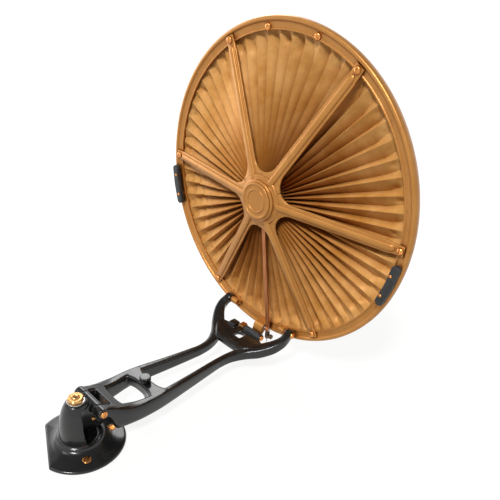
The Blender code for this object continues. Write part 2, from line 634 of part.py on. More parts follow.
# Stop screw: ribbed knob on the bridge, its shank running down through a nut
shank_end = RAIL_BOTTOM - STOP_REACH
knob_low = RAIL_TOP + 1 * MM
knob = turned("stop_screw",
              [(0, knob_low + KNOB_HEIGHT), (0.8 * KNOB_RADIUS, knob_low + KNOB_HEIGHT),
               (KNOB_RADIUS, knob_low + 0.85 * KNOB_HEIGHT),
               (KNOB_RADIUS, knob_low + 0.15 * KNOB_HEIGHT), (0.8 * KNOB_RADIUS, knob_low),
               (STOP_SCREW_RADIUS, knob_low),
               (STOP_SCREW_RADIUS, shank_end), (0, shank_end)], spot(BRIDGE_X, 0, 0), KNOB_RIBS)
finish(knob, BLACK, stop_axis)
hex_nut("stop_nut", STOP_NUT_FLATS, STOP_NUT_HEIGHT, STOP_SCREW_RADIUS + RUNNING_GAP,
        spot(BRIDGE_X, 0, RAIL_BOTTOM - SEAT_GAP - STOP_NUT_HEIGHT), hinge_axis, STEEL)

# Upright rest: sleeve on a slotted pin in front of the fork's tongue, held by a square block
block_low = ROLLER_FAR_END + SEAT_GAP
rest_block = block("rest_block", (TONGUE_X + SEAT_GAP, block_low, ROLLER_Z - 5 * MM),
                   (ROLLER_X + 5 * MM, block_low + REST_BLOCK_WIDTH, ROLLER_Z + 5.5 * MM))
rest_hole = rod("rest_hole", REST_PIN_RADIUS + SEAT_GAP, -ROLLER_LENGTH, ROLLER_LENGTH,
                spot(ROLLER_X, 0, ROLLER_Z, ALONG_Y))
finish(combine(rounded(rest_block, 0.7 * MM, 1), rest_hole, "DIFFERENCE"), BRASS, hinge_axis)
roller_near = ROLLER_FAR_END - ROLLER_LENGTH
sleeve_bore = REST_PIN_RADIUS + SEAT_GAP
finish(turned("rest_roller",
              [(sleeve_bore, 0), (0.9 * ROLLER_RADIUS, 0), (ROLLER_RADIUS, -0.6 * MM),
               (ROLLER_RADIUS, 0.6 * MM - ROLLER_LENGTH),
               (0.9 * ROLLER_RADIUS, -ROLLER_LENGTH), (sleeve_bore, -ROLLER_LENGTH)],
              spot(ROLLER_X, ROLLER_FAR_END, ROLLER_Z, ALONG_Y), 18, ring=True), RUBBER, hinge_axis)
screw("rest_pin", 0.8 * ROLLER_RADIUS, 2 * MM, REST_PIN_RADIUS,
      ROLLER_LENGTH + 2 * SEAT_GAP + 0.8 * REST_BLOCK_WIDTH,
      spot(ROLLER_X, roller_near - SEAT_GAP, ROLLER_Z, AGAINST_Y), hinge_axis, slotted=True)

# Fork pivots: slotted screws through the horns into the frame's lugs, each with a locknut inside
LUG_OUT = HORN_IN - FORK_NUT_HEIGHT - 2 * SEAT_GAP
LUG_IN = LUG_OUT - LUG_WIDTH
for name, side in (("left", 1), ("right", -1)):
    head = spot(FORK_X, side * (HORN_OUT + SEAT_GAP), FORK_Z, aim((0, side, 0)))
    length = HORN_OUT - LUG_IN - 1 * MM
    screw("fork_pivot_screw_" + name, 1.9 * FORK_PIN_RADIUS, 3 * MM, FORK_PIN_RADIUS, length, head,
          hinge_axis, slotted=True)
    inside = spot(FORK_X, side * (LUG_OUT + SEAT_GAP), FORK_Z, aim((0, side, 0)))
    hex_nut("fork_locknut_" + name, FORK_NUT_FLATS, FORK_NUT_HEIGHT, FORK_PIN_RADIUS + SEAT_GAP, inside,
            hinge_axis)

# Rim: front ring with a flat band and rolled bead, and the back ring that clamps the paper behind it
SKIRT_RADIUS = BAND_EDGE + 1.6 * MM
front_ring = turned("rim_front_ring",
                    [(OPENING_RADIUS, -0.4 * MM), (OPENING_RADIUS + 0.8 * MM, 0), (BAND_EDGE, 0),
                     (BAND_EDGE + 1 * MM, 0.8 * BEAD_RISE),
                     (0.5 * (BAND_EDGE + RIM_RADIUS), BEAD_RISE),
                     (RIM_RADIUS - 0.8 * MM, 0.7 * BEAD_RISE), (RIM_RADIUS, 0),
                     (RIM_RADIUS, -0.3 * RIM_DEPTH), (RIM_RADIUS - RIM_TURN_IN, -RIM_DEPTH),
                     (SKIRT_RADIUS, -RIM_DEPTH), (SKIRT_RADIUS, -WEB_THICKNESS),
                     (OPENING_RADIUS, -WEB_THICKNESS)], on_disc(0, 0, 0), 60, ring=True)
PAPER_FRONT = -WEB_THICKNESS - SEAT_GAP
BACK_FRONT = PAPER_FRONT - PAPER - SEAT_GAP
clamp_edge = SKIRT_RADIUS - SEAT_GAP
back_ring = turned("rim_back_ring",
                   [(OPENING_RADIUS, BACK_FRONT), (clamp_edge, BACK_FRONT),
                    (clamp_edge, -RIM_DEPTH + 1 * MM),
                    (OPENING_RADIUS + 1 * MM, -RIM_DEPTH + 1 * MM),
                    (OPENING_RADIUS, -RIM_DEPTH + 2 * MM)], on_disc(0, 0, 0), 60, ring=True)
SPOKE_ANGLES = [math.radians(360 / SPOKES * k) for k in range(SPOKES)]
TOP_SCREW_ANGLES = (math.radians(90) - TOP_SCREW_SPREAD, math.radians(90) + TOP_SCREW_SPREAD)
rim_places = [on_disc(*polar(SCREW_CIRCLE, angle), 0) for angle in SPOKE_ANGLES + list(TOP_SCREW_ANGLES)]
rim_holes = rods("rim_holes", SMALL_SCREW_RADIUS + SEAT_GAP, -2 * WEB_THICKNESS, WEB_THICKNESS, rim_places)
combine(front_ring, rim_holes, "DIFFERENCE")
finish(front_ring, GOLD, fork_axis)
finish(back_ring, GOLD, fork_axis)


# Spider: star of flat spokes cut from a shallow cone, with half-round ribs, webbed fillets and a stepped hub
def cone_front(radius):
    """Front of the spider's cone at a radius."""
    return FOOT_FRONT + (SPIDER_RISE - FOOT_FRONT) * (1 - min(radius, SPIDER_REACH) / SPIDER_REACH)


def star():
    """Plan of the spider: parallel-sided spokes with round fillets between them."""
    half = SPOKE_WIDTH / 2
    gap = math.pi / SPOKES
    tip = SCREW_CIRCLE + FOOT_LENGTH / 2
    outline = []
    for angle in SPOKE_ANGLES:
        turn = Matrix.Rotation(angle, 2)
        outline += [turn @ Vector((tip, -half)), turn @ Vector((tip, half))]
        centre = polar((half + SPOKE_FILLET) / math.sin(gap), angle + gap)
        sweep = math.pi - 2 * gap
        for step in range(9):
            outline.append(centre + polar(SPOKE_FILLET, angle + gap + math.pi + sweep * (0.5 - step / 8)))
    return outline


spider = plate("spider", [star()], 0.2, on_disc(0, 0, 0))
rim_end = RIM_RADIUS + 5 * MM
cone = turned("spider_cone",
              [(0, SPIDER_RISE), (SPIDER_REACH, FOOT_FRONT), (rim_end, FOOT_FRONT), (rim_end, SEAT_GAP),
               (SPIDER_REACH, SEAT_GAP), (0, SPIDER_RISE - SPIDER_THICKNESS)], on_disc(0, 0, 0), 48)
combine(spider, cone, "INTERSECT")
rib_end = OPENING_RADIUS - 5 * MM
runs = []
for angle in SPOKE_ANGLES:
    run = []
    for radius, factor in ((0.7 * HUB_RADIUS, 1), (rib_end - 3 * MM, 1), (rib_end - 0.8 * MM, 0.8),
                           (rib_end, 0.35)):
        x, y = polar(radius, angle)
        run.append(((x, y, cone_front(radius) - 0.1 * RIB_RADIUS), factor))
    runs.append(run)
combine(spider, bars("ribs", runs, RIB_RADIUS, on_disc(0, 0, 0)), "UNION")
hub_back = SPIDER_RISE - SPIDER_THICKNESS - 0.4 * MM
step_height = cone_front(HUB_STEP_RADIUS) + 1.8 * MM
hub = turned("hub",
             [(0, HUB_FRONT), (HUB_RADIUS - 2 * MM, HUB_FRONT), (HUB_RADIUS, HUB_FRONT - 1.4 * MM),
              (HUB_RADIUS, step_height + 1 * MM),
              (HUB_STEP_RADIUS - 1.5 * MM, step_height), (HUB_STEP_RADIUS, step_height - 1.2 * MM),
              (HUB_STEP_RADIUS, cone_front(HUB_STEP_RADIUS) - 1 * MM),
              (0.8 * HUB_RADIUS, hub_back - 1 * MM), (0, hub_back)],
             on_disc(0, 0, 0), 36)
combine(spider, hub, "UNION")
foot_places = rim_places[:SPOKES]
combine(spider, rods("foot_holes", SMALL_SCREW_RADIUS + SEAT_GAP, -1 * MM, 4 * FOOT_FRONT, foot_places),
        "DIFFERENCE")
finish(spider, GOLD, fork_axis)
cap_radius = HUB_RADIUS - 3 * MM
cap_low = HUB_FRONT + SEAT_GAP
finish(turned("hub_cap",
              [(0, cap_low + 1 * MM), (0.6 * cap_radius, cap_low + 1 * MM),
               (0.64 * cap_radius, cap_low + 1.8 * MM),
               (0.76 * cap_radius, cap_low + 1.8 * MM), (0.8 * cap_radius, cap_low + 1 * MM),
               (0.94 * cap_radius, cap_low + 1 * MM),
               (cap_radius, cap_low + 0.5 * MM), (cap_radius, cap_low), (0, cap_low)], on_disc(0, 0, 0),
              24), GOLD, fork_axis)
for number, angle in enumerate(SPOKE_ANGLES, 1):
    seat = on_disc(*polar(SCREW_CIRCLE, angle), FOOT_FRONT + SEAT_GAP, Matrix.Rotation(angle + 0.5, 4, "Z"))
    screw("foot_screw_%d" % number, 2 * SMALL_SCREW_RADIUS, 2 * MM, SMALL_SCREW_RADIUS,
          FOOT_FRONT + WEB_THICKNESS, seat, fork_axis)
for name, angle in zip(("right", "left"), TOP_SCREW_ANGLES):
    seat = on_disc(*polar(SCREW_CIRCLE, angle), SEAT_GAP, Matrix.Rotation(angle + 0.5, 4, "Z"))
    screw("rim_screw_" + name, 2 * SMALL_SCREW_RADIUS, 2 * MM, SMALL_SCREW_RADIUS, WEB_THICKNESS, seat,
          fork_axis)


# Pleated paper: each fold keeps its width of paper, so it is deep at the centre and flat at the rim
def pleated_paper():
    flat_radius = OPENING_RADIUS - 4 * MM
    inner = CLAMP_RADIUS + SEAT_GAP
    paper_edge = clamp_edge - 0.6 * MM
    columns = ((0, 1), (0.58, 1), (0.8, 0))
    rings = [inner, 0.72 * flat_radius, flat_radius, paper_edge]
    width = 2 * math.pi * flat_radius / PLEATS
    across = PLEATS * len(columns)
    shape = bmesh.new()
    bmesh.ops.create_grid(shape, x_segments=across, y_segments=len(rings) - 1, size=0.5)
    for vert in shape.verts:
        column = round((vert.co.x + 0.5) * across)
        radius = rings[round((vert.co.y + 0.5) * (len(rings) - 1))]
        share, height = columns[column % len(columns)]
        angle = 2 * math.pi * (column // len(columns) + share) / PLEATS
        inside = min(radius, flat_radius)
        fold = math.sqrt(max(0, width ** 2 - (2 * math.pi * inside / PLEATS) ** 2)) / 2
        crest = PAPER_FRONT + (PAPER_RISE - PAPER_FRONT) * (flat_radius - inside) / (flat_radius - inner)
        vert.co = (*polar(radius, angle), crest - fold * (1 - height))
    bmesh.ops.remove_doubles(shape, verts=shape.verts, dist=0.00001)
    back = bmesh.ops.extrude_face_region(shape, geom=shape.faces[:])
    moved = [item for item in back["geom"] if isinstance(item, bmesh.types.BMVert)]
    bmesh.ops.translate(shape, verts=moved, vec=(0, 0, -PAPER))
    bmesh.ops.recalc_face_normals(shape, faces=shape.faces[:])
    mesh = bpy.data.meshes.new("pleated_diaphragm")
    shape.to_mesh(mesh)
    shape.free()
    obj = bpy.data.objects.new("pleated_diaphragm", mesh)
    parts.objects.link(obj)
    obj.matrix_world = on_disc(0, 0, 0)
    finish(obj, PAPER_GOLD, fork_axis)


pleated_paper()
CLAMP_FRONT = PAPER_RISE + 0.5 * MM
CLAMP_BACK = PAPER_RISE - CLAMP_DEPTH
CLAMP_HOLLOW = 0.4 * CLAMP_DEPTH
finish(turned("centre_clamp",
              [(0, CLAMP_FRONT - CLAMP_HOLLOW), (BAR_SCREW_RADIUS + SEAT_GAP, CLAMP_FRONT - CLAMP_HOLLOW),
               (BAR_SCREW_RADIUS + SEAT_GAP, CLAMP_FRONT),
               (0.5 * CLAMP_RADIUS, CLAMP_FRONT), (CLAMP_RADIUS, CLAMP_FRONT - 1 * MM),
               (CLAMP_RADIUS, CLAMP_BACK),
               (0.8 * CLAMP_RADIUS, CLAMP_BACK), (0.3 * CLAMP_RADIUS, CLAMP_BACK + CLAMP_HOLLOW),
               (0, CLAMP_BACK + CLAMP_HOLLOW)],
              on_disc(0, 0, 0), 24), CORK, rocker_axis)


# Rubber buffers: round-ended pads on the bead, each on two brass pins that stand on the band
def stadium(half):
    """Round-ended outline along Y."""
    outline = []
    for end, start in ((half, 0), (-half, 180)):
        outline += [Vector((0, end)) + polar(BUFFER_WIDTH / 2,
                                             math.radians(start + 22.5 * k)) for k in range(9)]
    return outline


def buffer(name, angle):
    """Rubber pad at an angle of the rim, and its pins."""
    half = (BUFFER_LENGTH - BUFFER_WIDTH) / 2
    middle = 0.5 * (OPENING_RADIUS + RIM_RADIUS)
    pin_in = OPENING_RADIUS + 0.55 * BAND_WIDTH - middle
    low = BEAD_RISE + SEAT_GAP
    place = on_disc(*polar(middle, angle), low + BUFFER_THICKNESS / 2, Matrix.Rotation(angle, 4, "Z"))
    pins = (0.62 * half, -0.62 * half)
    hole = [polar(BUFFER_PIN_RADIUS + SEAT_GAP, math.radians(24 * k)) for k in range(15)]
    holes = [[point + Vector((pin_in, end)) for point in hole] for end in pins]
    pad = plate("buffer_" + name, [stadium(half)] + holes, BUFFER_THICKNESS, place)
    finish(pad, RUBBER, fork_axis)
    for number, end in enumerate(pins, 1):
        top = place @ Matrix.Translation((pin_in, end, BUFFER_THICKNESS / 2 + SEAT_GAP))
        screw("buffer_pin_%s_%d" % (name, number), 1.4 * BUFFER_PIN_RADIUS, 1.2 * MM, BUFFER_PIN_RADIUS,
              BUFFER_THICKNESS + low, top, fork_axis)


buffer("right", -BUFFER_BELOW)
buffer("left", math.pi + BUFFER_BELOW)

# Hinge lugs: round eyes on small feet, seated on the rim's band
for name, side in (("left", 1), ("right", -1)):
    eye = rod("hinge_lug_" + name, LUG_RADIUS, LUG_IN, LUG_OUT,
              spot(FORK_X, 0, FORK_Z, aim((0, side, 0))), 20)
    sides = sorted((side * LUG_IN, side * LUG_OUT))
    bead_top = DISC_Z - math.sqrt(BAND_EDGE ** 2 - LUG_OUT ** 2)
    foot = block("lug_foot", (DISC_X - 2.6 * MM, sides[0], bead_top + SEAT_GAP),
                 (DISC_X - SEAT_GAP, sides[1], FORK_Z + 1 * MM))
    neck = block("lug_neck", (FORK_X, sides[0], FORK_Z - 0.75 * LUG_RADIUS),
                 (DISC_X - 1.5 * MM, sides[1], FORK_Z + 0.5 * MM))
    combine(eye, foot, "UNION")
    combine(eye, neck, "UNION")
    bore = rod("lug_bore", FORK_PIN_RADIUS + RUNNING_GAP, 0, 2 * FORK_HALF,
               spot(FORK_X, 0, FORK_Z, aim((0, side, 0))))
    finish(combine(eye, bore, "DIFFERENCE"), GOLD, fork_axis)

# Bar bracket: block on the foot of the rim that carries the rocking bar, its nose against the rest roller
BRACKET_FAR = BRACKET_NEAR + BRACKET_WIDTH
NOSE = DISC_X - (ROLLER_X + ROLLER_RADIUS + SEAT_GAP)
foot_low = DISC_Z - math.sqrt(BAND_EDGE ** 2 - BRACKET_NEAR ** 2) + 0.6 * MM
foot_high = DISC_Z - OPENING_RADIUS - SEAT_GAP
shoulder = BEAD_RISE + 2 * SEAT_GAP
bracket_side = [(SEAT_GAP, foot_low), (SEAT_GAP, foot_high), (shoulder, ROCKER_Z + 4 * MM),
                (ROCKER_FORWARD + 2 * MM, ROCKER_Z + 4 * MM),
                (ROCKER_FORWARD + 4.5 * MM, ROCKER_Z + 1.5 * MM), (NOSE, ROLLER_Z + 4 * MM),
                (NOSE, ROLLER_Z - 3 * MM),
                (NOSE - 3 * MM, ROLLER_Z - 3 * MM), (ROCKER_FORWARD - 3 * MM, foot_low - 0.4 * MM),
                (shoulder, foot_low - 0.4 * MM),
                (shoulder, foot_low)]
bracket = plate("bar_bracket", [[(DISC_X - front, height) for front, height in bracket_side]], BRACKET_WIDTH,
                spot(0, 0.5 * (BRACKET_NEAR + BRACKET_FAR), 0, UPRIGHT))
rocker_place = spot(DISC_X - ROCKER_FORWARD, 0, ROCKER_Z, ALONG_Y)
combine(bracket, rod("rocker_bore", ROCKER_RADIUS + RUNNING_GAP, 3 * BAR_OFFSET, -3 * BAR_OFFSET,
                     rocker_place), "DIFFERENCE")
finish(bracket, GOLD, fork_axis)

# Needle bar: long leaning strip from the rocking shaft up to the middle of the paper
bar_near = BAR_OFFSET - 0.7 * BAR_WIDTH
finish(rod("rocker_shaft", ROCKER_RADIUS, bar_near, BRACKET_FAR, rocker_place), STEEL, rocker_axis)
lean = Vector((0, -BAR_OFFSET, DISC_Z - ROCKER_Z))
bar_length = lean.length
lean.normalize()
bar_turn = Matrix(((-1, 0, 0, DISC_X), (0, lean.y, lean.z, BAR_OFFSET), (0, lean.z, -lean.y, ROCKER_Z),
                   (0, 0, 0, 1)))
eye_radius = ROCKER_RADIUS + 1.6 * MM
bar_top = CLAMP_FRONT + SEAT_GAP + BAR_THICKNESS / 2
bar_end = bar_length + 4 * MM
bar_side = [Vector((ROCKER_FORWARD, 0)) + polar(eye_radius, math.radians(180 + 22.5 * k)) for k in range(9)]
bar_knee = bar_length - CLAMP_RADIUS - 3 * MM
bar_side += [(ROCKER_FORWARD + 1.6 * MM, 3 * eye_radius), (bar_top + BAR_THICKNESS / 2, bar_knee),
             (bar_top + BAR_THICKNESS / 2, bar_end), (bar_top - BAR_THICKNESS / 2, bar_end),
             (bar_top - BAR_THICKNESS / 2, bar_knee), (ROCKER_FORWARD - 1.6 * MM, 3 * eye_radius)]
bar = plate("needle_bar", [bar_side], BAR_WIDTH, bar_turn)
combine(bar, rod("bar_eye", ROCKER_RADIUS + SEAT_GAP, 3 * BAR_OFFSET, 0, rocker_place), "DIFFERENCE")
bar_face = bar_top + BAR_THICKNESS / 2
combine(bar, rod("bar_screw_hole", BAR_SCREW_RADIUS + SEAT_GAP, 0, 2 * bar_face, on_disc(0, 0, 0), 16),
        "DIFFERENCE")
finish(bar, COPPER, rocker_axis)
screw("bar_screw", 2 * BAR_SCREW_RADIUS, 1 * MM, BAR_SCREW_RADIUS, BAR_THICKNESS + 3.5 * MM,
      on_disc(0, 0, bar_face + SEAT_GAP), rocker_axis)

# Needle holder under the bar, its needle and its thumb screw
socket_y = BAR_OFFSET - eye_radius * lean.y
socket_top = ROCKER_Z - eye_radius - SEAT_GAP
socket_x = DISC_X - ROCKER_FORWARD
socket_low = socket_top - SOCKET_LENGTH
bore_radius = NEEDLE_RADIUS + SEAT_GAP
bore_top = socket_low + 0.7 * SOCKET_LENGTH
socket = turned("needle_socket",
                [(0, socket_top), (SOCKET_RADIUS, socket_top), (SOCKET_RADIUS, socket_low + 2 * MM),
                 (0.7 * SOCKET_RADIUS, socket_low),
                 (bore_radius, socket_low), (bore_radius, bore_top), (0, bore_top)],
                spot(socket_x, socket_y, 0), 16)
clamp_z = socket_low + 0.5 * SOCKET_LENGTH
clamp_place = spot(socket_x, socket_y, clamp_z, AGAINST_Y)
combine(socket, rod("clamp_hole", CLAMP_SCREW_RADIUS + RUNNING_GAP, 0, 2 * SOCKET_RADIUS, clamp_place,
                    16), "DIFFERENCE")
finish(socket, STEEL, rocker_axis)
needle_top = bore_top - SEAT_GAP
tip = needle_top - NEEDLE_LENGTH
finish(turned("needle", [(0, needle_top), (NEEDLE_RADIUS, needle_top), (NEEDLE_RADIUS, tip + 5 * MM),
                         (0, tip)],
              spot(socket_x, socket_y, 0), 12), STEEL, rocker_axis)
thumb_low = SOCKET_RADIUS + SEAT_GAP
thumb = turned("needle_clamp_screw",
               [(0, thumb_low + 5 * MM), (0.8 * SOCKET_RADIUS, thumb_low + 5 * MM),
                (SOCKET_RADIUS, thumb_low + 4.4 * MM),
                (SOCKET_RADIUS, thumb_low + 1 * MM), (1.6 * CLAMP_SCREW_RADIUS, thumb_low),
                (CLAMP_SCREW_RADIUS, thumb_low),
                (CLAMP_SCREW_RADIUS, NEEDLE_RADIUS + SEAT_GAP), (0, NEEDLE_RADIUS + SEAT_GAP)],
               clamp_place, 14)
finish(thumb, STEEL, joint_empty("clamp_axis", (socket_x, socket_y, clamp_z)))
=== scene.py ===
"""Looks of a pleated-diaphragm loudspeaker on its fork arm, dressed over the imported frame."""

import bmesh
import bpy
import numpy as np
from mathutils import Matrix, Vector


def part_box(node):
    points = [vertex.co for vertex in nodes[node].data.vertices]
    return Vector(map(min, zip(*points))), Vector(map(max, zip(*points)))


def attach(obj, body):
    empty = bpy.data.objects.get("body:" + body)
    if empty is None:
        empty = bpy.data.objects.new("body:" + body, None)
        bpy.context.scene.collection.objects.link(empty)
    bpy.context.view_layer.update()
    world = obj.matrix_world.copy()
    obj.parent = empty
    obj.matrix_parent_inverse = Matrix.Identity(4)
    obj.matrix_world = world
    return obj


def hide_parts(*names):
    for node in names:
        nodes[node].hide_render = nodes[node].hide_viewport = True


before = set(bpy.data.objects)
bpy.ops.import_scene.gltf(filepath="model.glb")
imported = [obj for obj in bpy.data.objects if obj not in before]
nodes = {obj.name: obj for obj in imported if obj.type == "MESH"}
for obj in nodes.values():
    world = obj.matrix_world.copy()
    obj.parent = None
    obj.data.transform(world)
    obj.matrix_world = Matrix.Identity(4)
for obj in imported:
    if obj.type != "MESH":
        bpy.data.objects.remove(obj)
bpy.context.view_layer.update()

# Studio: a pale floor and pale walls under a dim ceiling, a soft key light above the front of the diaphragm,
# a weaker one from the left, a softbox beyond that shines on the arm and a lit panel to the left. The camera
# stands at the photograph's angle.
CAMERA_PLACE = (-0.192196, -0.417572, 0.473342)
CAMERA_AXES = np.array([[0.71032251, -0.69974197, 0.07617817],
                        [0.35376334, 0.44847061, 0.8208079],
                        [-0.60851741, -0.55608928, 0.56610182]])
lens = bpy.data.cameras.new("camera")
lens.sensor_width = 36
lens.lens = 39.08
lens.shift_y = 0.1463
lens.clip_start = 0.01
camera = bpy.data.objects.new("camera", lens)
bpy.context.scene.collection.objects.link(camera)
camera.matrix_world = Matrix.Translation(CAMERA_PLACE) @ Matrix(CAMERA_AXES.T).to_4x4()
bpy.context.scene.camera = camera
bpy.context.scene.view_settings.view_transform = "Standard"


def feed(tree, node, **values):
    """Inputs of a node, by name or by number after an underscore. A value that is a socket is linked."""
    for key, value in values.items():
        socket = node.inputs[int(key[1:]) if key[1:].isdigit() else key.replace("_", " ")]
        if isinstance(value, bpy.types.NodeSocket):
            tree.links.new(value, socket)
        else:
            socket.default_value = value
    return node


def add(tree, kind, settings=(), **values):
    """New shader node with its settings and its inputs."""
    made = tree.nodes.new("ShaderNode" + kind)
    for key, value in dict(settings).items():
        setattr(made, key, value)
    return feed(tree, made, **values)


def combined(tree, operation, first, second):
    """Sum, product or greater of two values, each a socket or a number."""
    return add(tree, "Math", {"operation": operation}, _0=first, _1=second).outputs[0]


def ranged(tree, value, low, high, to_low=0.0, to_high=1.0):
    """Value socket stretched from one range to another."""
    return add(tree, "MapRange", Value=value, From_Min=low, From_Max=high, To_Min=to_low,
               To_Max=to_high).outputs[0]


def seen(tree, strength):
    """Strength that counts only for what is looked at: it is kept on camera, glossy and transmission rays."""
    ray = add(tree, "LightPath").outputs
    looked = combined(tree, "MAXIMUM", ray["Is Camera Ray"], ray["Is Glossy Ray"])
    looked = combined(tree, "MAXIMUM", looked, ray["Is Transmission Ray"])
    return combined(tree, "MULTIPLY", looked, strength)


WALL, CEILING, FILL = 0.91, 0.15, 0.09
world = bpy.data.worlds.new("pale_surround")
bpy.context.scene.world = world
world.use_nodes = True
sky = world.node_tree
upward = add(sky, "SeparateXYZ", _0=add(sky, "TexCoord").outputs["Generated"]).outputs["Z"]
surround = seen(sky, ranged(sky, upward, 0.45, 0.8, WALL, CEILING))
feed(sky, sky.nodes["Background"], Color=(1, 1, 1, 1), Strength=combined(sky, "ADD", surround, FILL))


def lamp(name, kind, place, aim, power, **sizes):
    """Lamp that faces a point: its local Z points back along the line from the point to the lamp."""
    light = bpy.data.lights.new(name, kind)
    light.energy = power
    for key, value in sizes.items():
        setattr(light, key, value)
    obj = bpy.data.objects.new(name, light)
    bpy.context.scene.collection.objects.link(obj)
    away = np.subtract(place, aim)
    away = away / np.linalg.norm(away)
    side = np.cross((0, 0, 1), away)
    side = side / np.linalg.norm(side)
    axes = np.stack([side, np.cross(away, side), away], axis=1)
    obj.matrix_world = Matrix.Translation(place) @ Matrix(axes).to_4x4()


lamp("key_light", "SUN", (-0.58, -0.2, 0.74), (0.0, 0.0, 0.0), 2.45, angle=np.radians(13))
lamp("left_light", "SUN", (-0.5, 0.35, 0.79), (0.0, 0.0, 0.0), 0.3, angle=np.radians(20))
lamp("far_softbox", "AREA", (0.77, 0.87, 0.97), (0.1, 0.0, 0.04), 6.5, size=0.56)
lamp("left_panel", "AREA", (0.12, 1.05, 0.3), (0.28, 0.0, 0.22), 5.5, size=0.9)

FLOOR_HALF, FLOOR_LEVEL, FLOOR_WHITE = 40.0, -0.0004, 0.86
floor_plan = np.array([(-1, -1), (1, -1), (1, 1), (-1, 1)]) * FLOOR_HALF
floor_mesh = bpy.data.meshes.new("floor")
floor_mesh.from_pydata([(x, y, FLOOR_LEVEL) for x, y in floor_plan], [], [(0, 1, 2, 3)])
floor = bpy.data.objects.new("floor", floor_mesh)
bpy.context.scene.collection.objects.link(floor)
pale = bpy.data.materials.new("pale_floor")
pale.use_nodes = True
feed(pale.node_tree, pale.node_tree.nodes["Principled BSDF"], Base_Color=(0.16, 0.16, 0.157, 1),
     Roughness=0.8, Emission_Color=(1, 1, 0.99, 1), Emission_Strength=seen(pale.node_tree, FLOOR_WHITE))
floor_mesh.materials.append(pale)

# Base casting: cast-iron foot with one straight side, a raised ring and a bullet-shaped tower whose side
# towards the arm is open. It is sand-cast, ground, and stoved with several coats of black japan.
MM = 0.001
BASE_RADIUS, BASE_SIDE, SIDE_ANGLE, RING_RADIUS = 50 * MM, 37 * MM, np.radians(156), 26 * MM
MOUTH, MOUTH_WAIST, TOWER_HEIGHT = 3 * MM, 2.6 * MM, 56 * MM


def mm(sizes):
    """Sizes in millimetres as an array in metres."""
    return np.array(sizes) * MM


def eased(corners, ease, steps=5, loop=False):
    """Polyline with its corners rounded: each is a quadratic curve that leaves one side and joins the next at
    the ease distance from the corner, or at under half the shorter side."""
    corner = np.asarray(corners, float)
    if loop:
        corner = np.concatenate([corner[-1:], corner, corner[:1]])
    before, after = corner[:-2] - corner[1:-1], corner[2:] - corner[1:-1]
    long_before = np.linalg.norm(before, axis=1, keepdims=True)
    long_after = np.linalg.norm(after, axis=1, keepdims=True)
    cut = np.minimum(0.45 * np.minimum(long_before, long_after), np.reshape(ease, (-1, 1)))
    start = (corner[1:-1] + before / long_before * cut)[:, None]
    end = (corner[1:-1] + after / long_after * cut)[:, None]
    t = np.linspace(0, 1, steps)[None, :, None]
    curve = (1 - t) ** 2 * start + 2 * t * (1 - t) * corner[1:-1, None] + t ** 2 * end
    curve = curve.reshape(-1, corner.shape[1])
    return curve if loop else np.concatenate([corner[:1], curve, corner[-1:]])


def placed(local, at, along):
    """Points with local Z laid along a direction and local zero at a place. Local X stays level."""
    w = np.asarray(along, float) / np.linalg.norm(along)
    u = np.cross((0, 1, 0) if abs(w[2]) > 0.9 else (0, 0, 1), w)
    u = u / np.linalg.norm(u)
    return np.asarray(at) + local @ np.stack([u, np.cross(w, u), w])


def patch(points, close_rows=False, close_columns=False):
    """Grid of points as vertices and quads between neighbours, wrapped where a direction closes."""
    rows, columns = points.shape[:2]
    index = np.arange(rows * columns).reshape(rows, columns)
    if close_rows:
        index = np.concatenate([index, index[:1]])
    if close_columns:
        index = np.concatenate([index, index[:, :1]], axis=1)
    quads = np.stack([index[:-1, :-1], index[1:, :-1], index[1:, 1:], index[:-1, 1:]], axis=-1)
    return points.reshape(-1, 3), quads.reshape(-1, 4)


def polar(radius, angle, height):
    """Points from a radius, an angle and a height: radius times cosine, radius times sine, height."""
    return np.stack(np.broadcast_arrays(radius * np.cos(angle), radius * np.sin(angle), height), axis=-1)


def turned(profile, at=(0, 0, 0), along=(0, 0, 1), steps=96, ring=False):
    """Surface of revolution: (radius, height) points carried round an axis, closed on itself for a ring."""
    profile = np.asarray(profile, float)
    angle = np.linspace(0, 2 * np.pi, steps, endpoint=False)
    local = polar(profile[:, 0, None], angle, profile[:, 1, None])
    return patch(placed(local, at, along), close_rows=ring, close_columns=True)


def build(name, patches, material, sharp=40):
    """One mesh object at the origin from patches, with its poles and seams merged and its faces outwards."""
    shift = np.cumsum([0] + [len(points) for points, _ in patches])
    points = np.concatenate([part for part, _ in patches])
    quads = np.concatenate([part + start for (_, part), start in zip(patches, shift)])
    mesh = bpy.data.meshes.new(name)
    mesh.from_pydata(points.tolist(), [], quads.tolist())
    shape = bmesh.new()
    shape.from_mesh(mesh)
    bmesh.ops.remove_doubles(shape, verts=shape.verts, dist=0.002 * MM)
    bmesh.ops.dissolve_degenerate(shape, edges=shape.edges, dist=0.001 * MM)
    bmesh.ops.recalc_face_normals(shape, faces=shape.faces)
    shape.to_mesh(mesh)
    shape.free()
    mesh.shade_smooth()
    mesh.set_sharp_from_angle(angle=np.radians(sharp))
    mesh.materials.append(material)
    obj = bpy.data.objects.new(name, mesh)
    bpy.context.scene.collection.objects.link(obj)
    return obj


def blended(tree, amount, low, high):
    """Colour that goes from low to high with an amount socket."""
    ends = (value if isinstance(value, bpy.types.NodeSocket) else (*value, 1) for value in (low, high))
    return add(tree, "Mix", {"data_type": "RGBA"}, _0=amount, _6=next(ends), _7=next(ends)).outputs[2]


def noise(tree, where, scale, detail, roughness=0.5):
    """Noise value over a place socket."""
    return add(tree, "TexNoise", Vector=where, Scale=scale, Detail=detail, Roughness=roughness).outputs[0]


def bump(tree, height, strength, distance, **under):
    """Normal socket of a surface raised by a height socket, over an earlier Normal where one is given."""
    return add(tree, "Bump", Height=height, Strength=strength, Distance=distance, **under).outputs[0]


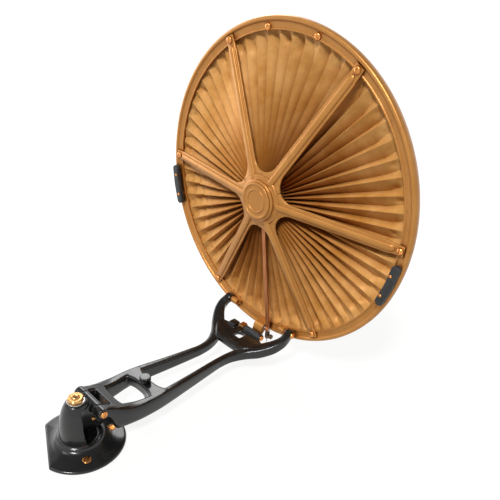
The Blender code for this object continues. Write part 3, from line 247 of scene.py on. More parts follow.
def start_finish(name):
    """New material with its tree, its shader and its object coordinates."""
    made = bpy.data.materials.new(name)
    made.use_nodes = True
    tree = made.node_tree
    return made, tree, tree.nodes["Principled BSDF"], add(tree, "TexCoord").outputs["Object"]


def black_japan():
    """Stoved black varnish over cast iron: faint casting waves, a fine skin, dull rubbed patches."""
    made, tree, shader, where = start_finish("black_japan")
    waves = noise(tree, where, 55.0, 2.0)
    skin = noise(tree, where, 1100.0, 2.0)
    rubbed = noise(tree, where, 30.0, 5.0, 0.6)
    coat = blended(tree, ranged(tree, rubbed, 0.52, 0.75), (0.009, 0.0094, 0.009), (0.017, 0.0178, 0.017))
    fine = bump(tree, skin, 0.015, 0.3 * MM)
    feed(tree, shader, Base_Color=coat, Roughness=ranged(tree, rubbed, 0.35, 0.7, 0.21, 0.31),
         Specular_IOR_Level=0.42, Coat_Weight=0.25, Coat_Roughness=0.08,
         Normal=bump(tree, waves, 0.04, 1.2 * MM, Normal=fine))
    return made


def one_casting(obj, voxel, passes):
    """Fuse a piece's bodies into one skin of even cells, smoothed to round its edges and inner corners."""
    cells = obj.modifiers.new("One casting", "REMESH")
    cells.mode = "VOXEL"
    cells.voxel_size = voxel
    cells.use_smooth_shade = True
    ease = obj.modifiers.new("Soft edges", "SMOOTH")
    ease.factor = 0.5
    ease.iterations = passes


JAPAN = black_japan()
around = np.linspace(0, 2 * np.pi, 180, endpoint=False)
reach = np.minimum(BASE_RADIUS, BASE_SIDE / np.maximum(np.cos(around - SIDE_ANGLE), 0.2))
skirt = eased(mm([(0, 9), (19.5, 9), (19.5, 11.6), (25.2, 11.6), (25.6, 9.2), (29, 7.0), (35, 5.3),
                  (42, 4.4), (48.6, 3.8), (50, 2.6), (50, 0), (0, 0)]),
              mm([0.6, 0.8, 1.0, 1.4, 3, 3, 3, 1.2, 0.8, 0.3]))
inner = skirt[:, 0, None]
beyond_ring = np.clip((inner - RING_RADIUS) / (BASE_RADIUS - RING_RADIUS), 0, 1)
spread = inner + beyond_ring * (reach - BASE_RADIUS)
foot = polar(spread, around, skirt[:, 1, None])
wall = eased(mm([(11.4, 55.2), (11.9, 58.8), (16.2, 50), (18.9, 41), (20.9, 31.5), (22.2, 22), (23.0, 14),
                 (23.6, 8.0), (12.4, 8.0), (12.4, 55.2)]),
             mm([0.1, 2, 5, 5, 5, 5, 4, 0.1, 0.1, 0.1]), loop=True)
wall_radius, wall_height = wall[:, 0, None], wall[:, 1, None]
setback = MOUTH + MOUTH_WAIST * np.sin(np.pi * np.clip(wall_height / TOWER_HEIGHT, 0, 1)) ** 2
round_back = np.pi + np.linspace(-1, 1, 120) * (np.pi - np.arccos(-setback / wall_radius))
shell = polar(wall_radius, round_back, wall_height)
lips = [patch(np.stack([lip, np.broadcast_to(lip.mean(axis=0), lip.shape)], axis=1), close_rows=True)
        for lip in (shell[:, 0], shell[:, -1])]
cap = eased(mm([(0, 60.1), (10.4, 60.1), (11.9, 58.6), (13.7, 54), (13.0, 54.6), (0, 55.4)]),
            mm([1.0, 2, 0.3, 0.3]))
base = build("base_iron", [patch(foot, close_columns=True), patch(shell, close_rows=True), *lips,
                           turned(cap)], JAPAN, 50)
one_casting(base, 0.7 * MM, 7)
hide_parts("base_casting")
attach(base, "base")

# Base screws: three slotted wood screws of red brass, countersunk in the foot. Their heads are turned and
# polished, and years of hands and polish have left them brown in the slots and bright on top.
SKIRT_EDGE, FOOT_SLOPE = 2.7 * MM, 0.13


def polished_brass(name, light, dark, roughness):
    """Old brass: bright where rubbed, brown where polish and dirt lie, with fine turning marks."""
    made, tree, shader, where = start_finish(name)
    stain = noise(tree, where, 150.0, 4.0)
    marks = noise(tree, where, 2400.0, 2.0)
    feed(tree, shader, Base_Color=blended(tree, ranged(tree, stain, 0.48, 0.74), light, dark),
         Roughness=ranged(tree, stain, 0.4, 0.75, roughness, roughness + 0.16), Metallic=1.0,
         Normal=bump(tree, marks, 0.08, 0.3 * MM))
    return made


def slotted_head(radius, height, at, along, turn, flat, slot, depth):
    """Screw head as a height over a disc: height times the root of one less the flat-th power of the share of
    the radius, cut down to a slot floor at the middle. Rows run along the slot, doubled at its edges."""
    side_rows, slot_rows = 16, 4
    across = np.concatenate([np.linspace(-1, -slot, side_rows), np.linspace(-slot, slot, slot_rows),
                             np.linspace(slot, 1, side_rows)])
    in_slot = np.repeat([False, True, False], [side_rows, slot_rows, side_rows])
    down = np.cos(np.linspace(0, np.pi, 33))[None, :]
    x = across[:, None] + 0 * down
    y = down * np.sqrt(np.maximum(0, 1 - x ** 2))
    dome = height * np.sqrt(np.maximum(0, 1 - np.minimum(1, np.hypot(x, y)) ** flat))
    top = np.where(in_slot[:, None], np.minimum(dome, (1 - depth) * height), dome)
    c, s = np.cos(turn), np.sin(turn)
    up = np.stack([radius * (c * x - s * y), radius * (s * x + c * y), top], axis=-1)
    under = up * (1, 1, 0)
    return [patch(placed(up, at, along)), patch(placed(under, at, along))]


RED_BRASS = polished_brass("red_brass", (0.72, 0.32, 0.1), (0.5, 0.19, 0.05), 0.2)
skirt_top = skirt[skirt[:, 1] > SKIRT_EDGE]
for number, bearing in enumerate(np.radians((250, 345, 75)), 1):
    low, high = np.array(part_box("base_screw_%d" % number))
    middle = (low + high)[:2] / 2
    outward = np.hypot(*middle)
    spot = np.append(middle, np.interp(outward, skirt_top[:, 0], skirt_top[:, 1]) + 0.1 * MM)
    square_to = np.append(FOOT_SLOPE * middle / outward, 1)
    head = slotted_head(4.9 * MM, 0.6 * MM, spot, square_to, bearing + 0.6, flat=5.0, slot=0.13, depth=1.6)
    taper = turned(mm([(4.9, 0), (2.4, -2.4), (2.4, -3.6), (0, -3.6)]), spot, square_to, 32)
    woodscrew = build("base_woodscrew_%d" % number, [*head, taper], RED_BRASS)
    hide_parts("base_screw_%d" % number)
    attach(woodscrew, "base")

# Upper pivot: coned brass screw down through the tower's cap, set by a screwdriver and locked with a hexagon
# nut on a pale zinc-plated washer. The nut is cut from bar and its corners are turned off.


def hexagon_nut(flats, height, bore, at, along, turn=0.0):
    """Nut as a loop of heights carried round: the side follows the hexagon's radius, flats over two over the
    cosine from the middle of the flat, and its top edge is cut back by a cone."""
    lip = 0.3 * MM
    angle = np.linspace(0, 2 * np.pi, 144, endpoint=False)
    near = (angle + np.pi / 6) % (np.pi / 3) - np.pi / 6
    side = flats / 2 / np.cos(near)
    slope = np.minimum(0.55 * (side - 0.5 * flats) + 0.03 * flats, 0.45 * height)
    face = 0 * angle + 0.48 * flats
    hole = 0 * angle + bore
    bottom, top = 0 * angle, 0 * angle + height
    radius = np.stack([hole, hole + lip, face, side, side, face, hole + lip, hole])
    level = np.stack([bottom + lip, bottom, bottom, slope, height - slope, top, top, top - lip])
    return patch(placed(polar(radius, angle + turn, level), at, along), close_rows=True, close_columns=True)


def bright_steel(name, light, dark, roughness):
    """Plated or ground steel: fine scratches, a grey haze and a few dull spots."""
    made, tree, shader, where = start_finish(name)
    haze = noise(tree, where, 180.0, 4.0)
    lines = noise(tree, where, 3000.0, 2.0)
    feed(tree, shader, Base_Color=blended(tree, ranged(tree, haze, 0.35, 0.7), light, dark),
         Roughness=ranged(tree, haze, 0.3, 0.7, roughness, roughness + 0.2), Metallic=1.0,
         Normal=bump(tree, lines, 0.1, 0.2 * MM))
    return made


BRASS = polished_brass("old_brass", (0.66, 0.38, 0.15), (0.44, 0.2, 0.06), 0.2)
STEEL = bright_steel("bright_steel", (0.62, 0.62, 0.6), (0.38, 0.37, 0.35), 0.25)
washer_bottom, washer_top = (corner[2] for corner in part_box("pivot_washer"))
washer_edge = eased([(3.3 * MM, washer_bottom), (3.3 * MM, washer_top), (9.6 * MM, washer_top),
                     (9.6 * MM, washer_bottom)], 0.3 * MM, 4, loop=True)
washer = build("washer_plate", [turned(washer_edge, ring=True)], STEEL)
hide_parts("pivot_washer")
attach(washer, "base")
nut_bottom, nut_top = (corner[2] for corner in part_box("pivot_locknut"))
nut = build("pivot_hexagon", [hexagon_nut(15.6 * MM, nut_top - nut_bottom, 3.2 * MM, (0, 0, nut_bottom),
                                          (0, 0, 1), 0.25)], BRASS, 25)
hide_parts("pivot_locknut")
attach(nut, "base")
spindle = turned([(3 * MM, nut_top), (3 * MM, 54.7 * MM), (0.3 * MM, 50.9 * MM), (0, 50.9 * MM)], steps=48)
crown = slotted_head(4.9 * MM, 2.4 * MM, (0, 0, nut_top + 0.1 * MM), (0, 0, 1), 0.55, flat=2.2, slot=0.1,
                     depth=0.5)
pivot = build("pivot_spindle", [spindle, *crown], BRASS)
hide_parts("upper_pivot_screw")
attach(pivot, "base")
for name in ("pivot_cup", "lower_pivot", "hinge_pin", "stop_nut", "rocker_shaft"):
    nodes[name].data.materials.clear()
    nodes[name].data.materials.append(STEEL)

# Swivel block: the casting that stands between the pivots, with the hinge knuckle at its head and a toe that
# the arm's web sits on. The mould and the varnish soften its edges, so its solid is remeshed and smoothed.


def softened(name, node, voxel, passes, material):
    """Cast piece from a node's solid: merged, remeshed to even cells, smoothed to round its edges."""
    mesh = nodes[node].data.copy()
    mesh.name = name
    shape = bmesh.new()
    shape.from_mesh(mesh)
    bmesh.ops.remove_doubles(shape, verts=shape.verts, dist=0.01 * MM)
    shape.to_mesh(mesh)
    shape.free()
    obj = bpy.data.objects.new(name, mesh)
    bpy.context.scene.collection.objects.link(obj)
    mesh.materials.clear()
    mesh.materials.append(material)
    one_casting(obj, voxel, passes)
    return obj


swivel = softened("swivel_iron", "swivel_block", 0.6 * MM, 6, JAPAN)
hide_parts("swivel_block")
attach(swivel, "swivel")

# Neck screw: a small round-headed brass screw in the side of the swivel block. It is turned from bar,
# slotted, and driven in to its head.
NECK_SEAT = mm([14.0, -7.02, 30.72])


def screw(seat, along, turn, head, shank, flat, slot, depth, steps=32):
    """Slotted screw on its seat: a head of a radius and height in millimetres, and below it a straight shank
    of a radius and length."""
    radius, height = head[0] * MM, head[1] * MM
    stem, length = shank[0] * MM, shank[1] * MM
    return [*slotted_head(radius, height, seat, along, turn, flat, slot, depth),
            turned([(radius, 0), (stem, 0), (stem, -length), (0, -length)], seat, along, steps)]


neck = build("neck_roundhead", screw(NECK_SEAT, (0, -1, 0), 0.3, head=(2.72, 2.0), shank=(1.7, 5.3), flat=2.2,
                                     slot=0.14, depth=0.5, steps=24), BRASS)
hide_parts("neck_screw")
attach(neck, "swivel")

# Hinge screws: a large slotted screw of red brass in each end of the arm's horizontal pin. They hold the
# arm's two ears to the swivel block's knuckle.
HINGE_X, HINGE_Z, EAR_FACE = 17.5 * MM, 48 * MM, 25.9 * MM
for side, name in ((1, "left"), (-1, "right")):
    hinge_screw = build("hinge_screw_" + name,
                        screw((HINGE_X, side * EAR_FACE, HINGE_Z), (0, side, 0), 0.5 + side, head=(4.3, 1.6),
                              shank=(2.8, 3.7), flat=4.0, slot=0.12, depth=0.4), RED_BRASS)
    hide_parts("hinge_end_screw_" + name)
    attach(hinge_screw, "arm")

# Carrying arm: one iron casting. Two rails run from the hinge ears round two open bays to a waist, then
# spread like the jaws of a wrench into the fork's horns. A web, a bridge and a head plate tie them together.
FORK_X, FORK_Z = 280 * MM, 56 * MM
WEB_BACK, WEB_FRONT, WEB_BOTTOM = 32.4 * MM, 43.6 * MM, 22.8 * MM
BRIDGE_X, BRIDGE_Z = 89.5 * MM, 31.0 * MM
WINDOW_X, WINDOW_HALF, PLATE_THICK = 245.4 * MM, 6.6 * MM, 6.5 * MM
LUG_X, LUG_Z = 255.5 * MM, 38.0 * MM


def flowing(knots, steps):
    """Smooth run through rows of numbers: a Catmull-Rom curve, each span divided evenly."""
    k = np.asarray(knots, float)
    k = np.concatenate([2 * k[:1] - k[1:2], k, 2 * k[-1:] - k[-2:-1]])
    a, b, c, d = (k[i:len(k) - 3 + i, None] for i in range(4))
    t = np.linspace(0, 1, steps, endpoint=False)[None, :, None]
    run = b + ((c - a) * t + (2 * a - 5 * b + 4 * c - d) * t ** 2 + (3 * b - a - 3 * c + d) * t ** 3) / 2
    return np.concatenate([run.reshape(-1, k.shape[1]), k[-2:-1]])


def carried(path, half_wide, half_high, up=(0, 0, 1), power=4.0, rim=40, dome=0.0):
    """Bar along a path: its section is a rounded rectangle, the superellipse of the given power, which stands
    along up and square to the path's plan. Its ends close, over a dome of that length where one is given."""
    path = np.asarray(path, float)
    half_wide, half_high = (np.broadcast_to(size, len(path)).astype(float) for size in (half_wide, half_high))
    ahead = np.gradient(path, axis=0)
    ahead = ahead - np.outer(ahead @ up, up)
    ahead = ahead / np.linalg.norm(ahead, axis=1, keepdims=True)
    if dome:
        rows = 4
        lift = np.sin(np.linspace(0, np.pi / 2, rows + 1))[:-1]
        shrink = np.maximum(np.cos(np.linspace(np.pi / 2, 0, rows + 1))[:-1], 0.01)
        first = path[0] - ahead[0] * dome * (1 - lift[:, None])
        last = path[-1] + ahead[-1] * dome * (1 - lift[::-1, None])
        path = np.concatenate([first, path, last])
        ahead = np.concatenate([np.repeat(ahead[:1], rows, 0), ahead, np.repeat(ahead[-1:], rows, 0)])
        edge = dome * (1 - shrink)
        half_wide = np.concatenate([half_wide[0] - edge, half_wide, half_wide[-1] - edge[::-1]])
        half_high = np.concatenate([half_high[0] - edge, half_high, half_high[-1] - edge[::-1]])
    side = np.cross(ahead, up)
    side = side / np.linalg.norm(side, axis=1, keepdims=True)
    top = np.cross(side, ahead)
    angle = np.linspace(0, 2 * np.pi, rim, endpoint=False)
    across, upward = (np.sign(wave) * np.abs(wave) ** (2 / power) for wave in (np.cos(angle), np.sin(angle)))
    ring = (path[:, None] + side[:, None] * half_wide[:, None, None] * across[None, :, None]
            + top[:, None] * half_high[:, None, None] * upward[None, :, None])
    ring = np.concatenate([np.repeat(path[:1, None], rim, 1), ring, np.repeat(path[-1:, None], rim, 1)])
    return patch(ring, close_columns=True)


# columns: along, out from the middle line, height of the middle, half width, half height
rail = flowing(mm([(18, 20.0, 47.6, 5.4, 5.8), (25, 20.6, 44.6, 5.8, 7.2), (31, 21.4, 34.6, 6.6, 14.6),
                   (38, 22.6, 31.9, 7.4, 14.1), (48, 24.4, 30.4, 8.0, 12.2), (62, 26.4, 28.9, 7.2, 10.9),
                   (82, 28.0, 28.5, 5.6, 10.5), (100, 27.0, 28.2, 5.2, 10.2),
                   (140, 22.9, 27.0, 4.8, 8.7), (175, 19.4, 26.6, 4.7, 7.4), (193, 18.2, 26.6, 4.8, 6.6),
                   (210, 20.2, 27.8, 5.6, 6.4), (228, 28.4, 30.8, 7.6, 7.0), (243, 41.2, 35.0, 9.0, 7.8),
                   (255, 52.6, 41.4, 7.8, 8.0), (265, 58.6, 47.6, 6.2, 7.4), (273, 59.4, 52.4, 5.4, 7.0),
                   (280, 58.5, 56.0, 4.8, 6.2)]), 10)
bars = []
for side in (1, -1):
    bars.append(carried(rail[:, :3] * (1, side, 1), rail[:, 3], rail[:, 4], power=4.2))
    bars.append(turned(mm([(0, 25.6), (6.6, 25.6), (6.6, 14.3), (0, 14.3)]),
                       (HINGE_X, 0, HINGE_Z), (0, side, 0)))
    bars.append(turned(mm([(0, 63.2), (6.2, 63.2), (6.2, 53.8), (0, 53.8)]),
                       (FORK_X, 0, FORK_Z), (0, side, 0)))
over = np.linspace(-26 * MM, 26 * MM, 41)
web_front = WEB_FRONT + 5 * MM * (np.abs(over) / 22 / MM) ** 4
web_back = 0 * over + WEB_BACK
web_x = np.stack([web_back, web_front, web_front, web_back], axis=1)
web_top = np.interp(web_x, rail[:, 0], rail[:, 2] + rail[:, 4]) - 0.3 * MM
web_z = np.where([True, True, False, False], web_top, WEB_BOTTOM)
web = np.stack([web_x, np.repeat(over[:, None], 4, 1), web_z], axis=-1)
web_ends = np.repeat(web[[0, -1]].mean(axis=1, keepdims=True), 4, 1)
bars.append(patch(np.concatenate([web_ends[:1], web, web_ends[1:]]), close_columns=True))
bridge = np.stack([0 * over + BRIDGE_X, over * 1.05, 0 * over + BRIDGE_Z], axis=1)
bars.append(carried(bridge, 7.2 * MM + 9 * MM * (np.abs(over) / 26 / MM) ** 3.2, 7.7 * MM, power=6))
plate_edge = mm([(256, 0), (256, 20), (254.5, 30), (251, 38), (244, 41), (234, 34), (226, 26), (221, 20),
                 (221, 11), (221, 0)])
plate_edge = np.concatenate([plate_edge, plate_edge[-2:0:-1] * (1, -1)])
plate_edge = eased(plate_edge, 3 * MM, 6, loop=True)
to_edge = np.unwrap(np.arctan2(plate_edge[:, 1], plate_edge[:, 0] - WINDOW_X))
square = WINDOW_HALF / np.maximum(np.abs(np.cos(to_edge)), np.abs(np.sin(to_edge)))
window = np.stack([WINDOW_X + square * np.cos(to_edge), square * np.sin(to_edge)], axis=1)
plate = window + (plate_edge - window) * np.linspace(0, 1, 9)[:, None, None]
plate_top = np.interp(plate[..., 0], mm([219, 230, 243, 256]), mm([35.4, 38.0, 38.8, 37.8]))
plate_top = plate_top + 3.5 * MM * (plate[..., 1] / (40 * MM)) ** 2
plate_under = np.dstack([plate, plate_top - PLATE_THICK])[::-1]
bars.append(patch(np.concatenate([np.dstack([plate, plate_top]), plate_under]), close_rows=True,
                  close_columns=True))
lug = np.linspace(15.5 * MM, 27 * MM, 5)
bars.append(carried(np.stack([0 * lug + LUG_X, lug, 0 * lug + LUG_Z], axis=1), 6.4 * MM, 6.2 * MM, power=6))
arm = build("arm_iron", bars, JAPAN)
one_casting(arm, 0.7 * MM, 11)
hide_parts("carrying_arm")
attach(arm, "arm")

# Stop screw: a small black knob with a coarse straight knurl, standing on the bridge. Its shank goes down
# through the casting and a plain nut under it.


def knurled(profile, beyond, ridges, lift, steps):
    """Surface of revolution as a grid, ribbed beyond a radius: there the radius is multiplied by one plus the
    lift times the cosine of the angle taken ridges times."""
    angle = np.linspace(0, 2 * np.pi, steps, endpoint=False)
    ribs = np.where((profile[:, 0] > beyond)[:, None], 1 + lift * np.cos(ridges * angle), 1.0)
    return polar(profile[:, 0, None] * ribs, angle, profile[:, 1, None])


knob_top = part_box("stop_screw")[1][2]
knob_profile = eased(mm([(0, 0), (5.9, 0), (6.7, -0.8), (6.7, -6.1), (5.9, -7.0), (2, -7.0), (2, -33),
                         (0, -33)]), mm([0.5, 0.5, 0.5, 0.4, 0.1, 0.2]))
knob_grid = knurled(knob_profile, 6 * MM, 30, 0.022, 240) + (BRIDGE_X, 0, knob_top)
knob = build("stop_knob", [patch(knob_grid, close_columns=True)], JAPAN)
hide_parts("stop_screw")
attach(knob, "stop")

# Upright rest: a dark sleeve on a slotted brass pin across the fork's tongue, with a square brass block at
# its far end. The frame's bracket leans on the sleeve when the diaphragm stands up.
ROLLER_X, ROLLER_Z, PIN_FACE, BLOCK_DOME = 262 * MM, 38 * MM, -25.8 * MM, 0.9 * MM


def hard_rubber():
    """Vulcanised black rubber: dull, slightly grey with age, and finely pitted."""
    made, tree, shader, where = start_finish("hard_rubber")
    bloom = noise(tree, where, 120.0, 5.0)
    pits = noise(tree, where, 1500.0, 3.0)
    grey = blended(tree, ranged(tree, bloom, 0.4, 0.7), (0.016, 0.017, 0.018), (0.045, 0.046, 0.046))
    feed(tree, shader, Base_Color=grey, Roughness=ranged(tree, bloom, 0.3, 0.7, 0.5, 0.68),
         Normal=bump(tree, pits, 0.25, 0.3 * MM))
    return made


RUBBER = hard_rubber()
sleeve = eased(mm([(2.2, 5), (5, 5), (5, -25.5), (2.2, -25.5)]), 0.7 * MM, 5, loop=True)
roller = build("rest_sleeve", [turned(sleeve, (ROLLER_X, 0, ROLLER_Z), (0, 1, 0), 64, ring=True)], RUBBER)
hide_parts("rest_roller")
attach(roller, "arm")
block_low, block_high = np.array(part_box("rest_block"))
block_middle, block_half = (block_low + block_high) / 2, (block_high - block_low) / 2
block_run = np.linspace(block_low[1] + BLOCK_DOME, block_high[1] - BLOCK_DOME, 5)
block_path = np.stack([0 * block_run + block_middle[0], block_run, 0 * block_run + block_middle[2]], axis=1)
block = build("rest_square", [carried(block_path, block_half[0], block_half[2], power=9, dome=BLOCK_DOME)],
              BRASS)
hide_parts("rest_block")
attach(block, "arm")
pin = build("rest_bolt", screw((ROLLER_X, PIN_FACE, ROLLER_Z), (0, -1, 0), 0.4, head=(4, 2), shank=(1.9, 38),
                               flat=3.0, slot=0.14, depth=0.5), RED_BRASS)
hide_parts("rest_pin")
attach(pin, "arm")

# Fork pivots: slotted brass screws through the horns into the eyes on the rim, with a thin hexagon locknut
# inside each horn.
HORN_FACE, NUT_FACE = 63.5 * MM, 50.3 * MM
for side, name in ((1, "left"), (-1, "right")):
    fork_screw = build("fork_screw_" + name,
                       screw((FORK_X, side * HORN_FACE, FORK_Z), (0, side, 0), 0.7 * side, head=(4.56, 3),
                             shank=(2.4, 21), flat=3.0, slot=0.13, depth=0.45), RED_BRASS)
    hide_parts("fork_pivot_screw_" + name)
    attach(fork_screw, "arm")
    fork_nut = build("fork_nut_" + name, [hexagon_nut(8.6 * MM, 3.2 * MM, 2.5 * MM,
                                                      (FORK_X, side * NUT_FACE, FORK_Z), (0, side, 0))],
                     RED_BRASS, 25)
    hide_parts("fork_locknut_" + name)
    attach(fork_nut, "arm")

# Rim: two pressed and turned rings, finished in gold bronze paint. The front one has a flat band and a
# rolled bead, and the back one clamps the edge of the paper against it.
DISC = (288 * MM, 0, 228.66 * MM)
FRONT = (-1, 0, 0)


def gold_paint(name, light, mid, dark, roughness):
    """Bronze powder in varnish: metal flakes, cloudy brush coats, brown age patches, painted shade in
    corners.
    """
    made, tree, shader, where = start_finish(name)
    cloud = noise(tree, where, 26.0, 5.0, 0.6)
    flake = noise(tree, where, 1600.0, 2.0)
    aged = noise(tree, where, 75.0, 6.0, 0.7)
    coat = blended(tree, ranged(tree, cloud, 0.3, 0.7), mid, light)
    coat = blended(tree, ranged(tree, aged, 0.58, 0.8, 0.0, 0.6), coat, dark)
    # Painted shade: the colour goes to the dark brown where ambient occlusion finds corners and crevices.
    corner = add(tree, "AmbientOcclusion", {"samples": 8}, Distance=6 * MM).outputs["AO"]
    coat = blended(tree, ranged(tree, corner, 0.45, 0.95, 0.9, 0.0), coat, dark)
    feed(tree, shader, Base_Color=coat, Roughness=ranged(tree, aged, 0.3, 0.75, roughness, roughness + 0.14),
         Metallic=0.45, Specular_IOR_Level=0.4, Normal=bump(tree, flake, 0.1, 0.3 * MM))
    return made


GOLD = gold_paint("gold_bronze_paint", (0.6, 0.275, 0.066), (0.5, 0.207, 0.042), (0.22, 0.066, 0.008), 0.3)
front_ring = eased(mm([(178, -1.2), (178, 0.5), (179.4, 0.5), (180.2, -0.5), (186.2, 0.7), (186.8, 2.0),
                       (188.2, 2.9), (190.4, 2.6), (191.8, 0.9), (192, -3), (189.6, -10), (187.6, -10),
                       (187.6, -2), (178, -2)]),
                   mm([0.2, 0.5, 0.4, 0.4, 0.4, 0.8, 0.9, 0.9, 0.9, 0.8, 0.8, 0.4, 0.4, 0.4]), 4, loop=True)
rim = build("rim_bead", [turned(front_ring, DISC, FRONT, 256, ring=True)], GOLD, 55)
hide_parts("rim_front_ring")
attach(rim, "reproducer")
back_ring = eased(mm([(178, -3.8), (187.3, -3.8), (187.3, -9), (179, -9), (178, -8)]), 0.5 * MM, 4,
                  loop=True)
clamp = build("rim_clamp", [turned(back_ring, DISC, FRONT, 256, ring=True)], GOLD, 55)
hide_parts("rim_back_ring")
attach(clamp, "reproducer")

# Spider: one light casting. Six flat spokes with a half-round rib run from a stepped hub down to square feet
# on the rim, with webbed fillets where neighbouring spokes meet.
RIB_END, RIB_NOSE, RIB_HALF, SPOKE_END = 168.5 * MM, 7 * MM, 3.9 * MM, 176 * MM
FILLET_AT, FILLET_RADIUS, SPOKE_HALF = 46.77 * MM, 20 * MM, 7 * MM
along = np.concatenate([np.linspace(20, 60, 30), np.linspace(62, 166, 20),
                        168.5 + 7 * np.sin(np.linspace(0, np.pi / 2, 20)), np.linspace(176, 185.7, 6)]) * MM
cone = 2.9 * MM + 27.1 * MM * (1 - np.minimum(along, SPOKE_END) / SPOKE_END)
fillet = SPOKE_HALF + FILLET_RADIUS - np.sqrt(
    np.maximum(0, FILLET_RADIUS ** 2 - (np.minimum(along, FILLET_AT) - FILLET_AT) ** 2))
narrow = np.clip((along - 166 * MM) / (8 * MM), 0, 1)
half = (np.minimum(fillet, along * np.tan(np.pi / 6)) - 1.1 * MM * narrow ** 2 * (3 - 2 * narrow))[:, None]
swell = np.sqrt(1 - np.clip((along - RIB_END) / RIB_NOSE, 0, 1) ** 2)[:, None]
arc = np.radians(np.linspace(180, 0, 19))[None, :]
flank = mm([-5.0, -4.5, -4.2, -4.0]) * swell
left = np.concatenate([-half + mm([0.5, 0, 0, 0.25, 0.9]), flank], axis=1)
rib = RIB_HALF * swell * np.cos(arc)
level_left = np.concatenate([mm([-2.6, -2.2, -0.8, -0.25, 0]) + 0 * half,
                             mm([0, 0.05, 0.2, 0.4]) * swell], axis=1)
rib_level = swell * (0.5 * MM + 2.3 * MM * np.sin(arc) ** 0.8)
level = np.concatenate([level_left, rib_level, level_left[:, ::-1]], axis=1)
sides = np.concatenate([left, rib, -left[:, ::-1]], axis=1)
spokes = []
for swing in np.radians(np.arange(6) * 60):
    x = along[:, None] * np.cos(swing) - sides * np.sin(swing)
    y = along[:, None] * np.sin(swing) + sides * np.cos(swing)
    spoke = np.stack([x, y, cone[:, None] + level], axis=-1)
    tip = np.broadcast_to(spoke[-1:].mean(axis=1, keepdims=True), spoke[-1:].shape)
    spokes.append(patch(placed(np.concatenate([spoke, tip]), DISC, FRONT), close_columns=True))
hub = eased(mm([(0, 32.6), (23, 32.6), (25, 31.4), (25, 28.6), (27.5, 27.6), (29.6, 27.2), (30.5, 25.6),
                (31.5, 23.8), (24, 23.4), (18, 26), (0, 26.6)]), 0.9 * MM)
spider = build("spider_casting", [*spokes, turned(hub, DISC, FRONT, 128)], GOLD, 50)
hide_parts("spider")
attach(spider, "reproducer")

# Hub medallion: a stamped disc let into the hub, with raised rings and a bare middle. It is painted with the
# spider.
medal_profile = eased(mm([(0, 33.5), (12.4, 33.5), (12.9, 34.3), (14.1, 34.3), (14.6, 33.5), (18.6, 33.5),
                          (19.2, 34.2), (21.0, 34.2), (22, 33.4), (22, 32.9), (0, 32.9)]), 0.35 * MM, 4)
medal = build("hub_medallion", [turned(medal_profile, DISC, FRONT, 128)], GOLD, 55)
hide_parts("hub_cap")
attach(medal, "reproducer")

# Rim screws: round-headed red brass screws, one in each spider foot and two more in the band at the top.
# Their heads are bare and have browned with age.
SCREW_CIRCLE, FOOT_FRONT, BAND_FRONT = 181.2 * MM, 3.2 * MM, 0.3 * MM
rim_screws = [("foot_screw_%d" % (k + 1), 60 * k, FOOT_FRONT) for k in range(6)]
rim_screws += [("rim_screw_right", 79, BAND_FRONT), ("rim_screw_left", 101, BAND_FRONT)]
for name, degrees, front in rim_screws:
    bearing = np.radians(degrees)
    rim_seat = placed(polar(SCREW_CIRCLE, bearing, front), DISC, FRONT)
    roundhead = build(name.replace("screw", "roundhead"),
                      screw(rim_seat, FRONT, 3.1 * bearing, head=(4.1, 2.8), shank=(1.7, 3), flat=2.1,
                            slot=0.09, depth=0.4, steps=24), RED_BRASS)
    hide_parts(name)
    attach(roundhead, "reproducer")

# Pleated diaphragm: one sheet of strong paper in sixty folds, deep at the hub and run out flat under the
# rim, sized and painted gold. Age has crumpled its outer edge and creased it low on one side.
PLEATS, INNER, FLAT_RADIUS, EDGE = 60, 29.3 * MM, 174 * MM, 186.7 * MM
FOLD_DEPTH, SPREAD_RADIUS, END_RADIUS, VALLEY_AT = 9.6 * MM, 158 * MM, 179 * MM, 0.27
CREST_FOOT, CREST_RISE, DEEPEST, PAPER_THICK = -2.3 * MM, 20.6 * MM, -8.9 * MM, 1.0 * MM
SHALLOWER, RUN_OUT = 0.22, 0.75
BUCKLE, BUCKLE_FROM, BUCKLE_RUN, RIPPLE = 1.1 * MM, 144 * MM, 16 * MM, 0.3 * MM
DENT_DEPTH, DENT_WIDE, DENT_LONG = 3.4, 0.15, 4.5 * MM
HURT, HURT_RADIUS, HURT_LONG = 2.2 * MM, 145 * MM, 20 * MM
HURT_AT, HURT_WIDE = np.radians(200), np.radians(13)
random = np.random.default_rng(7)
fold_step = np.array([0, 0.2, 0.4, 0.6, 0.8])
ring_at = np.concatenate([np.linspace(INNER, 60 * MM, 12), np.linspace(64 * MM, 140 * MM, 20),
                          np.linspace(142 * MM, END_RADIUS, 30), [180.8 * MM, EDGE]])


